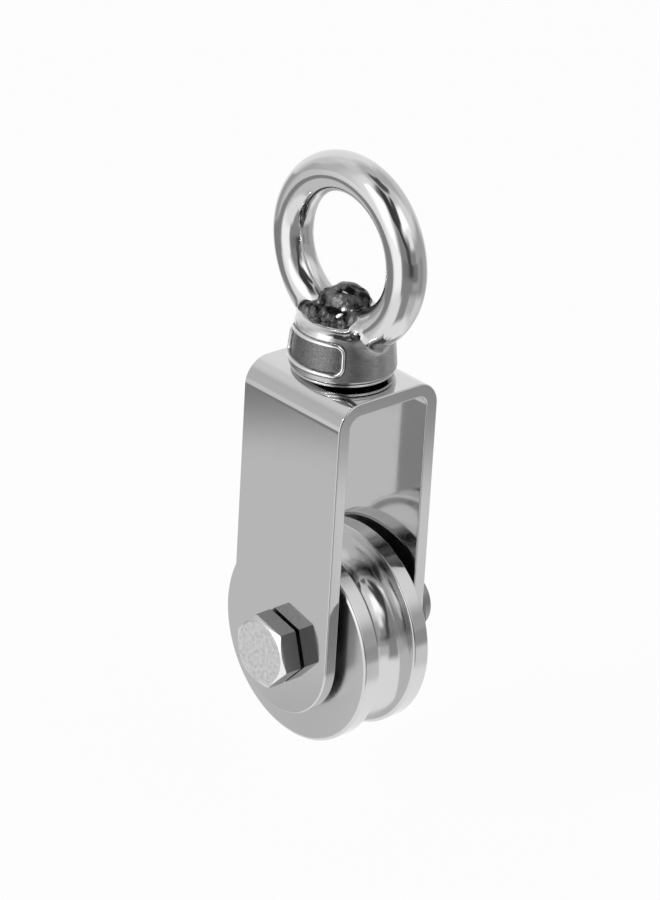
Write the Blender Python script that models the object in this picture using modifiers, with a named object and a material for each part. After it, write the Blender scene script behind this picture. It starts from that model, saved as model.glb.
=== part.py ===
"""Single-sheave wire rope pulley with a swivelling eye nut, all in stainless steel.

The eye nut and its stud turn in the top of a folded flat-bar bracket. The grooved sheave runs
on a caged ball bearing, on a hexagon bolt between the bracket's two plates.

Units are metres. Z points up along the pull and Y along the axle. The origin is where a hook
bears on the inside of the eye. The bolt's head is on the near side, which is -Y.
"""
import math

import bmesh
import bpy
from mathutils import Matrix, Vector

# Clearances
SEAT_GAP = 0.00025  # left between two faces that touch
BALL_PLAY = 0.0002  # between a ball and its races and pocket

# Flat bar folded to the bracket
BAR_WIDTH = 0.0400
BAR_THICKNESS = 0.0040
PLATE_GAP = 0.0282  # inside, between the two plates
BEND_RADIUS = 0.0035  # inside the fold
TOP_TO_AXLE = 0.0811  # from the bracket's outer top face down to the axle
BAR_EDGE_ROUND = 0.0005

# Eye nut
EYE_BAR = 0.0113  # diameter of the ring's section
EYE_HOLE = 0.0335
EYE_FLARE = 0.10  # share by which the ring thickens where it meets the collar
EYE_FLARE_REACH = math.radians(75)  # along the ring, from its lowest point
EYE_CENTRE_HEIGHT = 0.0358  # above the bracket's top face
EYE_TURN = math.radians(2.1)  # how far the eye has swivelled at rest
COLLAR_DIAMETER = 0.0304
COLLAR_HEIGHT = 0.0150
COLLAR_DRAFT = math.radians(6)
COLLAR_TOP_ROUND = 0.0030
COLLAR_FOOT_ROUND = 0.0008

# Swivel stud, its washer and the weld on its end
STUD_DIAMETER = 0.0160
STUD_HEAD_DIAMETER = 0.0240
STUD_HEAD_HEIGHT = 0.0045
STUD_STAND = 0.0010  # how far its end stands out of the ring's floor
SWIVEL_WASHER_DIAMETER = 0.0292
SWIVEL_WASHER_THICKNESS = 0.0015
WELD_HEIGHT = 0.0071  # above the ring's floor
WELD_WIDTH = 0.0150

# Sheave
SHEAVE_DIAMETER = 0.0600
SHEAVE_WIDTH = 0.0240
RIM_LAND = 0.0056  # flat outside of each flange
GROOVE_WALL = 0.00575  # metal between the groove's floor and the bearing's seat
RIM_ROUND = 0.0006
BORE_CHAMFER = 0.0005
BEARING_SHOULDER = 0.0020  # how far the bore's shoulder reaches in behind the bearing

# Deep-groove ball bearing
BEARING_BORE = 0.0120
BEARING_OUTSIDE = 0.0320
BEARING_WIDTH = 0.0100
BALL_DIAMETER = 0.0060
BALL_COUNT = 7
RACE_DEPTH = 0.0011  # of the ball track below each ring's land
RING_ROUND = 0.0004
CAGE_THICKNESS = 0.0005
CAGE_WIDTH = 0.0022  # in the radial direction
SHIELD_THICKNESS = 0.0004
SHIELD_INSET = 0.0003  # below the bearing's face
SHIELD_SEAT = 0.0008  # how much wider than the land the shield's seat is
CIRCLIP_THICKNESS = 0.0012
CIRCLIP_WIDTH = 0.0022
CIRCLIP_GROOVE_DEPTH = 0.0010
CIRCLIP_MOUTH = math.radians(42)
CIRCLIP_LUG_RADIUS = 0.0017
CIRCLIP_LUG_HOLE = 0.0016  # diameter

# Axle bolt and lock nut
AXLE_DIAMETER = 0.0120
HEX_FLATS = 0.0190
HEX_TURN = math.radians(47.3)  # a corner's angle from +X, seen from the near side
BOLT_HEAD_HEIGHT = 0.0068
WASHER_FACE = 0.0004  # thin round step under a hexagon
HEX_CHAMFER = math.radians(30)
NUT_HEIGHT = 0.0090
NUT_COLLAR_DIAMETER = 0.0172
NUT_COLLAR_HEIGHT = 0.0030
NUT_LIP = 0.0007  # rolled over the insert
INSERT_DIAMETER = 0.0150
INSERT_THICKNESS = 0.0020
NUT_WASHER_DIAMETER = 0.0240
NUT_WASHER_THICKNESS = 0.0020
BOLT_END = 0.0025  # stands out of the nut
SPACER_DIAMETER = 0.0170

# Facets
SHEAVE_STEPS = 52
RING_STEPS = 28
SMALL_STEPS = 24
EYE_STEPS = 48
EYE_SECTION_STEPS = 14

# Places worked out from the sizes
EYE_RADIUS = (EYE_HOLE + EYE_BAR) / 2
EYE_CENTRE_Z = -EYE_HOLE / 2
TOP_Z = EYE_CENTRE_Z - EYE_CENTRE_HEIGHT
AXLE_Z = TOP_Z - TOP_TO_AXLE
EYE_FLOOR_Z = EYE_CENTRE_Z - EYE_HOLE / 2
COLLAR_FOOT_Z = TOP_Z + SWIVEL_WASHER_THICKNESS + 2 * SEAT_GAP
PLATE_INNER_Y = PLATE_GAP / 2
PLATE_OUTER_Y = PLATE_INNER_Y + BAR_THICKNESS
PITCH_RADIUS = (BEARING_BORE + BEARING_OUTSIDE) / 4
TRACK_RADIUS = BALL_DIAMETER / 2 + BALL_PLAY
INNER_LAND = PITCH_RADIUS - TRACK_RADIUS + RACE_DEPTH
OUTER_LAND = PITCH_RADIUS + TRACK_RADIUS - RACE_DEPTH
SHIELD_SEAT_RADIUS = OUTER_LAND + SHIELD_SEAT
SHEAVE_BORE = BEARING_OUTSIDE / 2 + SEAT_GAP
GROOVE_FLOOR = SHEAVE_BORE + GROOVE_WALL
AXLE_HOLE = AXLE_DIAMETER / 2 + SEAT_GAP
AXLE_AXIS = Matrix.Translation((0, 0, AXLE_Z)) @ Matrix.Rotation(-math.pi / 2, 4, "X")

STEEL = (0.50, 0.50, 0.51)
STEEL_DARK = (0.055, 0.052, 0.050)
STEEL_SATIN = (0.43, 0.43, 0.44)
NYLON = (0.80, 0.80, 0.78)


def clear_scene():
    """Removes what the new file starts with and makes the two collections."""
    for thing in list(bpy.data.objects):
        bpy.data.objects.remove(thing, do_unlink=True)
    made = {}
    for name in ("wire_rope_pulley", "pulley_cutters"):
        made[name] = bpy.data.collections.new(name)
        bpy.context.scene.collection.children.link(made[name])
    return made["wire_rope_pulley"], made["pulley_cutters"]


PARTS, CUTTERS = clear_scene()


def metal(name, colour, roughness, metallic=1.0):
    """A plain Principled material."""
    made = bpy.data.materials.new(name)
    made.use_nodes = True
    shader = made.node_tree.nodes["Principled BSDF"]
    shader.inputs["Base Color"].default_value = (*colour, 1.0)
    shader.inputs["Roughness"].default_value = roughness
    shader.inputs["Metallic"].default_value = metallic
    return made


def place(name, mesh, material=None, matrix=Matrix()):
    """Makes an object of a mesh: a part if it has a material, a cutter if it has none."""
    thing = bpy.data.objects.new(name, mesh)
    thing.matrix_world = matrix
    if material is None:
        CUTTERS.objects.link(thing)
        thing.display_type = "WIRE"
        thing.hide_render = True
        return thing
    PARTS.objects.link(thing)
    mesh.materials.append(material)
    return thing


def smooth(mesh, angle=math.radians(32)):
    mesh.shade_smooth()
    mesh.set_sharp_from_angle(angle=angle)


def turned(name, profile, steps, material=None, matrix=Matrix(), closed=True):
    """Turns a profile of (radius, height) points about Z, outer side first and downwards."""
    mesh = bpy.data.meshes.new(name)
    count = len(profile)
    edges = [(i, i + 1) for i in range(count - 1)]
    if closed:
        edges.append((count - 1, 0))
    mesh.from_pydata([(radius, 0, height) for radius, height in profile], edges, [])
    thing = place(name, mesh, material, matrix)
    screw = thing.modifiers.new("turn", "SCREW")
    screw.steps = steps
    screw.render_steps = steps
    screw.use_merge_vertices = True
    screw.merge_threshold = 0.000001
    screw.use_smooth_shade = True
    return thing


def arc(centre, radius, start, end, steps):
    """Points (radius, height) of an arc, its angles in degrees from the outward direction."""
    angles = [math.radians(start + (end - start) * i / steps) for i in range(steps + 1)]
    return [(centre[0] + radius * math.cos(a), centre[1] + radius * math.sin(a)) for a in angles]


def ring_profile(inner, outer, low, high, round_off):
    """A plain ring's section with its outer edges rounded."""
    return (
        [(outer - round_off, high), (outer, high - round_off), (outer, low + round_off), (outer - round_off, low)]
        + [(inner, low), (inner, high)]
    )


def boolean(thing, other, operation):
    step = thing.modifiers.new(operation.lower(), "BOOLEAN")
    step.operation = operation
    step.solver = "EXACT"
    step.object = other


def mesh_of(build):
    """A mesh filled by a function that gets an empty bmesh."""
    mesh = bpy.data.meshes.new(build.__name__)
    cage = bmesh.new()
    build(cage)
    cage.to_mesh(mesh)
    cage.free()
    return mesh


def box(name, low, high):
    """A cutter box between two corners."""
    def block(cage):
        centre = [(a + b) / 2 for a, b in zip(low, high)]
        size = [b - a for a, b in zip(low, high)]
        bmesh.ops.create_cube(cage, size=1, matrix=Matrix.LocRotScale(centre, None, size))
    return place(name, mesh_of(block))


def cylinder(name, radius, length, matrix, steps=SMALL_STEPS):
    """A cutter cylinder along its matrix's Z, centred there."""
    def rod(cage):
        bmesh.ops.create_cone(cage, cap_ends=True, segments=steps, radius1=radius, radius2=radius, depth=length)
    return place(name, mesh_of(rod), None, matrix)


def hexagon_prism(name, length, matrix):
    """A cutter prism with the hexagon's flats, turned as the bolt's head is."""
    corner = HEX_FLATS / 2 / math.cos(math.pi / 6)
    def prism(cage):
        bmesh.ops.create_cone(cage, cap_ends=True, segments=6, radius1=corner, radius2=corner, depth=length)
        # create_cone sets its first corner on +Y
        bmesh.ops.rotate(cage, verts=cage.verts, matrix=Matrix.Rotation(-HEX_TURN - math.pi / 2, 3, "Z"))
    return place(name, mesh_of(prism), None, matrix)


def eye_ring(name, bar, matrix, material=None):
    """The eye's ring, a torus about Y whose bar thickens towards the collar below it."""
    bpy.ops.mesh.primitive_torus_add(
        major_segments=EYE_STEPS, minor_segments=EYE_SECTION_STEPS,
        major_radius=EYE_RADIUS, minor_radius=bar / 2, rotation=(math.pi / 2, 0, 0))
    made = bpy.context.object
    mesh = made.data
    mesh.transform(made.matrix_world)
    bpy.data.objects.remove(made, do_unlink=True)
    mesh.name = name
    for corner in mesh.vertices:
        along = Vector((corner.co.x, 0, corner.co.z)).normalized()
        from_bottom = math.acos(max(-1, min(1, -along.z)))
        share = max(0, 1 - from_bottom / EYE_FLARE_REACH)
        core = along * EYE_RADIUS
        corner.co = core + (corner.co - core) * (1 + EYE_FLARE * math.sin(share * math.pi / 2) ** 2)
    smooth(mesh)
    return place(name, mesh, material, matrix)


def collar_profile(grow):
    """The collar's half section with its drafted side, rounded shoulder and foot."""
    foot_radius = COLLAR_DIAMETER / 2 + grow
    lean = math.degrees(COLLAR_DRAFT)
    top = COLLAR_FOOT_Z + COLLAR_HEIGHT + grow
    top_radius = foot_radius - COLLAR_HEIGHT * math.tan(COLLAR_DRAFT)
    foot = COLLAR_FOOT_Z
    return (
        [(0, top)]
        + arc((top_radius - COLLAR_TOP_ROUND, top - COLLAR_TOP_ROUND), COLLAR_TOP_ROUND, 90, lean, 5)
        + arc((foot_radius - COLLAR_FOOT_ROUND, foot + COLLAR_FOOT_ROUND), COLLAR_FOOT_ROUND, lean, -90, 4)
        + [(0, foot)]
    )


def eye_nut(material):
    """Cast ring and threaded collar in one piece."""
    turn = Matrix.Rotation(EYE_TURN, 4, "Z")
    nut = eye_ring("eye_nut", EYE_BAR, turn @ Matrix.Translation((0, 0, EYE_CENTRE_Z)), material)
    collar = turned("collar_form", collar_profile(0), EYE_STEPS, closed=False)
    boolean(nut, collar, "UNION")
    # the hole is cut from below the foot until it is clear of the ring's hollow floor
    clear_of_floor = EYE_FLOOR_Z + STUD_DIAMETER / 2 - COLLAR_FOOT_Z
    bore = cylinder("stud_hole_form", STUD_DIAMETER / 2 + SEAT_GAP, 2 * clear_of_floor,
                    Matrix.Translation((0, 0, COLLAR_FOOT_Z)))
    boolean(nut, bore, "DIFFERENCE")
    return nut


def swivel_stud(material):
    """Turned stud that hangs by its low head under the bracket's top."""
    head_top = TOP_Z - BAR_THICKNESS - SEAT_GAP
    head = STUD_HEAD_DIAMETER / 2
    edge = STUD_HEAD_HEIGHT / 3
    end = EYE_FLOOR_Z + STUD_STAND
    shank = STUD_DIAMETER / 2
    profile = (
        [(0, end), (shank - BORE_CHAMFER, end), (shank, end - BORE_CHAMFER), (shank, head_top)]
        + [(head - BAR_EDGE_ROUND, head_top), (head, head_top - BAR_EDGE_ROUND)]
        + arc((head - edge, head_top - STUD_HEAD_HEIGHT + edge), edge, 0, -90, 3)
        + [(0, head_top - STUD_HEAD_HEIGHT)]
    )
    return turned("swivel_stud", profile, SMALL_STEPS, material, closed=False)


def swivel_washer(material):
    """Thin round-edged washer on which the collar turns."""
    low = TOP_Z + SEAT_GAP
    high = low + SWIVEL_WASHER_THICKNESS
    profile = ring_profile(STUD_DIAMETER / 2 + SEAT_GAP, SWIVEL_WASHER_DIAMETER / 2, low, high,
                           SWIVEL_WASHER_THICKNESS / 3)
    return turned("swivel_washer", profile, SMALL_STEPS, material)


def weld_beads(cage):
    """Overlapping flattened drops, the tall one over the stud and the others run to its near side."""
    drops = (
        # across, along, share of the height, share of the width
        (0.00, 0.00, 1.00, 1.00),
        (0.26, -0.22, 0.72, 0.62),
        (-0.30, -0.30, 0.66, 0.60),
        (-0.62, -0.34, 0.42, 0.46),
        (0.10, 0.38, 0.62, 0.55),
    )
    for across, along, tall, wide in drops:
        size = (WELD_WIDTH * wide, WELD_WIDTH * wide, 2 * WELD_HEIGHT * tall)
        centre = (WELD_WIDTH * across, WELD_WIDTH * along, EYE_FLOOR_Z)
        bmesh.ops.create_uvsphere(cage, u_segments=10, v_segments=6, radius=0.5,
                                  matrix=Matrix.LocRotScale(centre, None, size))


def stud_weld(material):
    """Weld over the stud's end, held off the eye nut and the stud by the seat gap."""
    turn = Matrix.Rotation(EYE_TURN, 4, "Z")
    weld = place("stud_weld", mesh_of(weld_beads), material, turn)
    smooth(weld.data, math.radians(60))
    join = weld.modifiers.new("self", "BOOLEAN")
    join.operation = "UNION"
    join.solver = "EXACT"
    join.use_self = True
    join.object = cylinder("weld_foot_form", WELD_WIDTH / 5, WELD_HEIGHT, Matrix.Translation((0, 0, EYE_FLOOR_Z)), 12)
    spare = 2 * SEAT_GAP
    ring = eye_ring("weld_ring_form", EYE_BAR + spare, turn @ Matrix.Translation((0, 0, EYE_CENTRE_Z)))
    boolean(weld, ring, "DIFFERENCE")
    collar = turned("weld_collar_form", collar_profile(SEAT_GAP), EYE_STEPS, closed=False)
    boolean(weld, collar, "DIFFERENCE")
    end = cylinder("weld_stud_form", STUD_DIAMETER / 2 + spare, 2 * COLLAR_HEIGHT,
                   Matrix.Translation((0, 0, EYE_FLOOR_Z + STUD_STAND + SEAT_GAP - COLLAR_HEIGHT)))
    boolean(weld, end, "DIFFERENCE")
    return weld


def bracket_section():
    """The folded bar's outline across the bracket, as (y, z) points, drawn once round."""
    inner = PLATE_INNER_Y - BEND_RADIUS
    under = TOP_Z - BAR_THICKNESS
    foot = AXLE_Z - BAR_WIDTH
    outside = arc((inner, under - BEND_RADIUS), BEND_RADIUS + BAR_THICKNESS, 0, 90, 8)
    inside = arc((inner, under - BEND_RADIUS), BEND_RADIUS, 90, 0, 8)
    right = [(PLATE_OUTER_Y, foot)] + outside
    left = [(-y, z) for y, z in reversed(right)]
    hollow_left = [(-y, z) for y, z in reversed(inside)]
    return right + left + [(-PLATE_INNER_Y, foot)] + hollow_left + inside + [(PLATE_INNER_Y, foot)]


def bracket(material):
    """Flat bar folded to a U, its ends round about the axle, with holes for stud and axle."""
    def folded_bar(cage):
        corners = [cage.verts.new((-BAR_WIDTH / 2, y, z)) for y, z in bracket_section()]
        face = cage.faces.new(corners)
        pulled = bmesh.ops.extrude_face_region(cage, geom=[face])["geom"]
        moved = [part for part in pulled if isinstance(part, bmesh.types.BMVert)]
        bmesh.ops.translate(cage, verts=moved, vec=(BAR_WIDTH, 0, 0))
        bmesh.ops.recalc_face_normals(cage, faces=cage.faces)
    made = place("bracket", mesh_of(folded_bar), material)
    reach = 2 * PLATE_OUTER_Y
    outline = cylinder("plate_end_form", BAR_WIDTH / 2, reach * 2, AXLE_AXIS, SHEAVE_STEPS)
    above = box("plate_form", (-BAR_WIDTH, -reach, AXLE_Z), (BAR_WIDTH, reach, 0))
    boolean(outline, above, "UNION")
    boolean(made, outline, "INTERSECT")
    axle_hole = cylinder("axle_hole_form", AXLE_HOLE, reach * 2, AXLE_AXIS)
    boolean(made, axle_hole, "DIFFERENCE")
    stud_hole = cylinder("bracket_stud_hole_form", STUD_DIAMETER / 2 + SEAT_GAP, 4 * BAR_THICKNESS,
                         Matrix.Translation((0, 0, TOP_Z)))
    boolean(made, stud_hole, "DIFFERENCE")
    bevel = made.modifiers.new("edges", "BEVEL")
    bevel.width = BAR_EDGE_ROUND
    bevel.segments = 1
    bevel.limit_method = "ANGLE"
    bevel.angle_limit = math.radians(40)
    smooth(made.data)
    return made


def sheave(material):
    """Turned wheel: two broad rims, a half-round groove and a stepped bore for the bearing."""
    outer = SHEAVE_DIAMETER / 2
    half = SHEAVE_WIDTH / 2
    groove = half - RIM_LAND
    rim_inside = outer - RIM_ROUND
    # the wall is straight above the half-round floor, or none is left where the groove is shallow
    centre = GROOVE_FLOOR + groove
    wall_angle = 90 if centre <= rim_inside else math.degrees(math.acos((rim_inside - centre) / groove))
    seat_end = BEARING_WIDTH / 2 + SEAT_GAP
    clip_low = -BEARING_WIDTH / 2 - CIRCLIP_THICKNESS - 2 * SEAT_GAP
    clip_high = -BEARING_WIDTH / 2
    clip_radius = SHEAVE_BORE + CIRCLIP_GROOVE_DEPTH
    profile = (
        arc((outer - RIM_ROUND, half - RIM_ROUND), RIM_ROUND, 90, 0, 1)
        + [(outer, groove + RIM_ROUND), (rim_inside, groove)]
        + arc((centre, 0), groove, wall_angle, 360 - wall_angle, 9)
        + [(rim_inside, -groove), (outer, -groove - RIM_ROUND)]
        + arc((outer - RIM_ROUND, RIM_ROUND - half), RIM_ROUND, 0, -90, 1)
        + [(SHEAVE_BORE + BORE_CHAMFER, -half), (SHEAVE_BORE, BORE_CHAMFER - half)]
        + [(SHEAVE_BORE, clip_low), (clip_radius, clip_low), (clip_radius, clip_high), (SHEAVE_BORE, clip_high)]
        + [(SHEAVE_BORE, seat_end), (SHEAVE_BORE - BEARING_SHOULDER, seat_end)]
        + [(SHEAVE_BORE - BEARING_SHOULDER, half - BORE_CHAMFER)]
        + [(SHEAVE_BORE - BEARING_SHOULDER + BORE_CHAMFER, half)]
    )
    return turned("sheave", profile, SHEAVE_STEPS, material, AXLE_AXIS)


def bearing_outer_ring(material):
    """Outer race with its ball track and a seat for a shield on each side."""
    outer = BEARING_OUTSIDE / 2
    half = BEARING_WIDTH / 2
    spread = math.degrees(math.acos((TRACK_RADIUS - RACE_DEPTH) / TRACK_RADIUS))
    seat = half - SHIELD_INSET - SHIELD_THICKNESS - SEAT_GAP
    profile = (
        arc((outer - RING_ROUND, half - RING_ROUND), RING_ROUND, 90, 0, 1)
        + arc((outer - RING_ROUND, RING_ROUND - half), RING_ROUND, 0, -90, 1)
        + [(SHIELD_SEAT_RADIUS, -half), (SHIELD_SEAT_RADIUS, -seat), (OUTER_LAND, -seat)]
        + arc((PITCH_RADIUS, 0), TRACK_RADIUS, -spread, spread, 6)
        + [(OUTER_LAND, seat), (SHIELD_SEAT_RADIUS, seat), (SHIELD_SEAT_RADIUS, half)]
    )
    return turned("bearing_outer_ring", profile, RING_STEPS, material, AXLE_AXIS)


def bearing_inner_ring(material):
    """Inner race, clamped between the spacers on the axle bolt."""
    half = BEARING_WIDTH / 2
    spread = math.degrees(math.acos((TRACK_RADIUS - RACE_DEPTH) / TRACK_RADIUS))
    profile = (
        [(INNER_LAND - RING_ROUND, half), (INNER_LAND, half - RING_ROUND)]
        + arc((PITCH_RADIUS, 0), TRACK_RADIUS, 180 - spread, 180 + spread, 6)
        + [(INNER_LAND, RING_ROUND - half), (INNER_LAND - RING_ROUND, -half)]
        + [(AXLE_HOLE, -half), (AXLE_HOLE, half)]
    )
    return turned("bearing_inner_ring", profile, RING_STEPS, material, AXLE_AXIS)


def ball_place(number):
    """Where a ball's centre lies, the first at the bottom of the race."""
    turn = Matrix.Rotation(2 * math.pi * number / BALL_COUNT, 4, "Z")
    return AXLE_AXIS @ turn @ Matrix.Translation((0, PITCH_RADIUS, 0))


def bearing_balls(material):
    """One mesh shared by all the balls."""
    def ball(cage):
        bmesh.ops.create_uvsphere(cage, u_segments=12, v_segments=7, radius=BALL_DIAMETER / 2)
    mesh = mesh_of(ball)
    mesh.shade_smooth()
    mesh.materials.append(material)
    for number in range(BALL_COUNT):
        thing = bpy.data.objects.new(f"bearing_ball_{number + 1}", mesh)
        thing.matrix_world = ball_place(number)
        PARTS.objects.link(thing)


def radial_rods(name, radius, length):
    """Short cylinders that point outwards, one through each ball, as one cutter."""
    def rods(cage):
        for number in range(BALL_COUNT):
            turn = Matrix.Rotation(2 * math.pi * number / BALL_COUNT, 4, "Z")
            lie = Matrix.Translation((0, PITCH_RADIUS, 0)) @ Matrix.Rotation(math.pi / 2, 4, "X")
            bmesh.ops.create_cone(cage, cap_ends=True, segments=16, radius1=radius, radius2=radius,
                                  depth=length, matrix=turn @ lie)
    return place(name, mesh_of(rods), None, AXLE_AXIS)


def bearing_cage(material):
    """Ribbon cage of two pressed halves welded between the balls, one round pocket for each ball."""
    inner = PITCH_RADIUS - CAGE_WIDTH / 2
    outer = PITCH_RADIUS + CAGE_WIDTH / 2
    pocket = BALL_DIAMETER / 2 + BALL_PLAY
    wall = pocket + CAGE_THICKNESS
    spare = CAGE_WIDTH / 4
    flat = [(outer + spare, CAGE_THICKNESS), (outer + spare, -CAGE_THICKNESS),
            (inner - spare, -CAGE_THICKNESS), (inner - spare, CAGE_THICKNESS)]
    cage = turned("bearing_cage", flat, RING_STEPS, material, AXLE_AXIS)
    boolean(cage, radial_rods("cage_bulge_form", wall, 2 * CAGE_WIDTH), "UNION")
    boolean(cage, radial_rods("cage_pocket_form", pocket, 3 * CAGE_WIDTH), "DIFFERENCE")
    band = [(outer, 2 * wall), (outer, -2 * wall), (inner, -2 * wall), (inner, 2 * wall)]
    boolean(cage, turned("cage_band_form", band, RING_STEPS, None, AXLE_AXIS), "INTERSECT")
    return cage


def bearing_shield(name, side, material):
    """Pressed dust shield in the outer ring, clear of the inner ring."""
    face = BEARING_WIDTH / 2 - SHIELD_INSET
    outer = SHIELD_SEAT_RADIUS - SEAT_GAP
    inner = INNER_LAND + SEAT_GAP
    heights = sorted((side * face, side * (face - SHIELD_THICKNESS)))
    profile = [(outer, heights[1]), (outer, heights[0]), (inner, heights[0]), (inner, heights[1])]
    return turned(name, profile, RING_STEPS, material, AXLE_AXIS)


def bearing_circlip(material):
    """Sprung ring with two drilled lugs that keeps the bearing in the sheave's bore."""
    outer = SHEAVE_BORE + CIRCLIP_GROOVE_DEPTH - SEAT_GAP
    inner = outer - CIRCLIP_WIDTH
    high = -BEARING_WIDTH / 2 - SEAT_GAP
    low = high - CIRCLIP_THICKNESS
    middle = (low + high) / 2
    clip = turned("bearing_circlip", [(outer, high), (outer, low), (inner, low), (inner, high)],
                  RING_STEPS, material, AXLE_AXIS)
    mouth = 2 * outer * math.sin(CIRCLIP_MOUTH / 2)
    gap = box("circlip_mouth_form", (-mouth / 2, 0, low - SEAT_GAP), (mouth / 2, 2 * outer, high + SEAT_GAP))
    gap.matrix_world = AXLE_AXIS
    boolean(clip, gap, "DIFFERENCE")
    for side in (-1, 1):
        turn = Matrix.Rotation(side * CIRCLIP_MOUTH / 2, 4, "Z")
        spot = AXLE_AXIS @ turn @ Matrix.Translation((0, inner, middle))
        boolean(clip, cylinder("circlip_lug_form", CIRCLIP_LUG_RADIUS, CIRCLIP_THICKNESS, spot, 16), "UNION")
        boolean(clip, cylinder("circlip_hole_form", CIRCLIP_LUG_HOLE / 2, 2 * CIRCLIP_THICKNESS, spot, 10),
                "DIFFERENCE")
    return clip


def spacer(name, side, material):
    """Tube that keeps the bearing's inner ring off a plate."""
    near = BEARING_WIDTH / 2 + SEAT_GAP
    far = PLATE_INNER_Y - SEAT_GAP
    low, high = sorted((side * near, side * far))
    return turned(name, ring_profile(AXLE_HOLE, SPACER_DIAMETER / 2, low, high, BORE_CHAMFER),
                  SMALL_STEPS, material, AXLE_AXIS)


def hexagon_crown(top, direction):
    """The chamfered corner of a hexagon seen in section: where the cone leaves the flat's level."""
    corner = HEX_FLATS / 2 / math.cos(math.pi / 6)
    flat = HEX_FLATS / 2 * 0.95
    drop = (corner - flat) * math.tan(HEX_CHAMFER)
    return [(flat, top), (corner, top - direction * drop)]


def axle_bolt(material):
    """Hexagon bolt from the near plate to past the nut, its thread left plain."""
    corner = HEX_FLATS / 2 / math.cos(math.pi / 6)
    bearing = -PLATE_OUTER_Y - SEAT_GAP
    shank = AXLE_DIAMETER / 2
    end = (PLATE_OUTER_Y + NUT_WASHER_THICKNESS + NUT_HEIGHT + NUT_COLLAR_HEIGHT + 3 * SEAT_GAP + BOLT_END)
    washer_face = HEX_FLATS / 2 - SEAT_GAP
    profile = (
        [(0, end), (shank - 2 * BORE_CHAMFER, end), (shank, end - 2 * BORE_CHAMFER), (shank, bearing)]
        + [(washer_face, bearing), (washer_face, bearing - WASHER_FACE), (corner, bearing - WASHER_FACE)]
        + list(reversed(hexagon_crown(bearing - BOLT_HEAD_HEIGHT, -1)))
        + [(0, bearing - BOLT_HEAD_HEIGHT)]
    )
    bolt = turned("axle_bolt", profile, SMALL_STEPS, material, AXLE_AXIS, closed=False)
    boolean(bolt, hexagon_prism("bolt_hexagon_form", 4 * PLATE_OUTER_Y, AXLE_AXIS), "INTERSECT")
    return bolt


def axle_nut(material):
    """Lock nut: a hexagon with a round collar rolled in over a nylon ring."""
    corner = HEX_FLATS / 2 / math.cos(math.pi / 6)
    low = PLATE_OUTER_Y + NUT_WASHER_THICKNESS + 2 * SEAT_GAP
    shoulder = low + NUT_HEIGHT
    top = shoulder + NUT_COLLAR_HEIGHT
    collar = NUT_COLLAR_DIAMETER / 2
    pocket = INSERT_DIAMETER / 2 + SEAT_GAP
    pocket_top = top - NUT_LIP
    pocket_floor = pocket_top - INSERT_THICKNESS - 2 * SEAT_GAP
    mouth = (pocket + AXLE_HOLE) / 2
    profile = (
        arc((collar - NUT_LIP, top - NUT_LIP), NUT_LIP, 90, 0, 2)
        + [(collar, shoulder)] + hexagon_crown(shoulder, 1)
        + list(reversed(hexagon_crown(low, -1)))
        + [(AXLE_HOLE, low), (AXLE_HOLE, pocket_floor), (pocket, pocket_floor), (pocket, pocket_top)]
        + [(mouth, pocket_top), (mouth, top)]
    )
    nut = turned("axle_nut", profile, SMALL_STEPS, material, AXLE_AXIS)
    boolean(nut, hexagon_prism("nut_hexagon_form", 4 * PLATE_OUTER_Y, AXLE_AXIS), "INTERSECT")
    return nut


def axle_nut_insert(material):
    """Nylon ring that grips the bolt's thread."""
    top = PLATE_OUTER_Y + NUT_WASHER_THICKNESS + NUT_HEIGHT + NUT_COLLAR_HEIGHT + 2 * SEAT_GAP
    high = top - NUT_LIP - SEAT_GAP
    return turned("axle_nut_insert", ring_profile(AXLE_HOLE, INSERT_DIAMETER / 2, high - INSERT_THICKNESS,
                                                  high, BORE_CHAMFER), SMALL_STEPS, material, AXLE_AXIS)


def axle_nut_washer(material):
    """Plain washer under the nut."""
    low = PLATE_OUTER_Y + SEAT_GAP
    return turned("axle_nut_washer", ring_profile(AXLE_HOLE, NUT_WASHER_DIAMETER / 2, low,
                                                  low + NUT_WASHER_THICKNESS, BORE_CHAMFER / 2),
                  SMALL_STEPS, material, AXLE_AXIS)


def build():
    polished = metal("polished cast stainless", STEEL, 0.10)
    sheet = metal("polished stainless bar", STEEL, 0.12)
    satin = metal("turned stainless", STEEL_SATIN, 0.28)
    burnt = metal("heat-darkened weld", STEEL_DARK, 0.35)
    bearing_steel = metal("bearing steel", STEEL, 0.08)
    nylon = metal("white nylon", NYLON, 0.45, 0.0)
    eye_nut(polished)
    swivel_stud(satin)
    stud_weld(burnt)
    swivel_washer(polished)
    bracket(sheet)
    axle_bolt(satin)
    axle_nut(satin)
    axle_nut_insert(nylon)
    axle_nut_washer(satin)
    spacer("spacer_near", -1, satin)
    spacer("spacer_far", 1, satin)
    sheave(satin)
    bearing_outer_ring(bearing_steel)
    bearing_inner_ring(bearing_steel)
    bearing_balls(bearing_steel)
    bearing_cage(satin)
    bearing_shield("bearing_shield_near", -1, satin)
    bearing_shield("bearing_shield_far", 1, satin)
    bearing_circlip(satin)


build()
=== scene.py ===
"""Looks of the wire rope pulley: a swivel eye nut, a folded stainless bracket and a grooved sheave.

Units are metres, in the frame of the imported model. Z points up along the pull and Y along the axle.
"""
import math

import bpy
import numpy as np
from mathutils import Matrix, Vector


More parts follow.
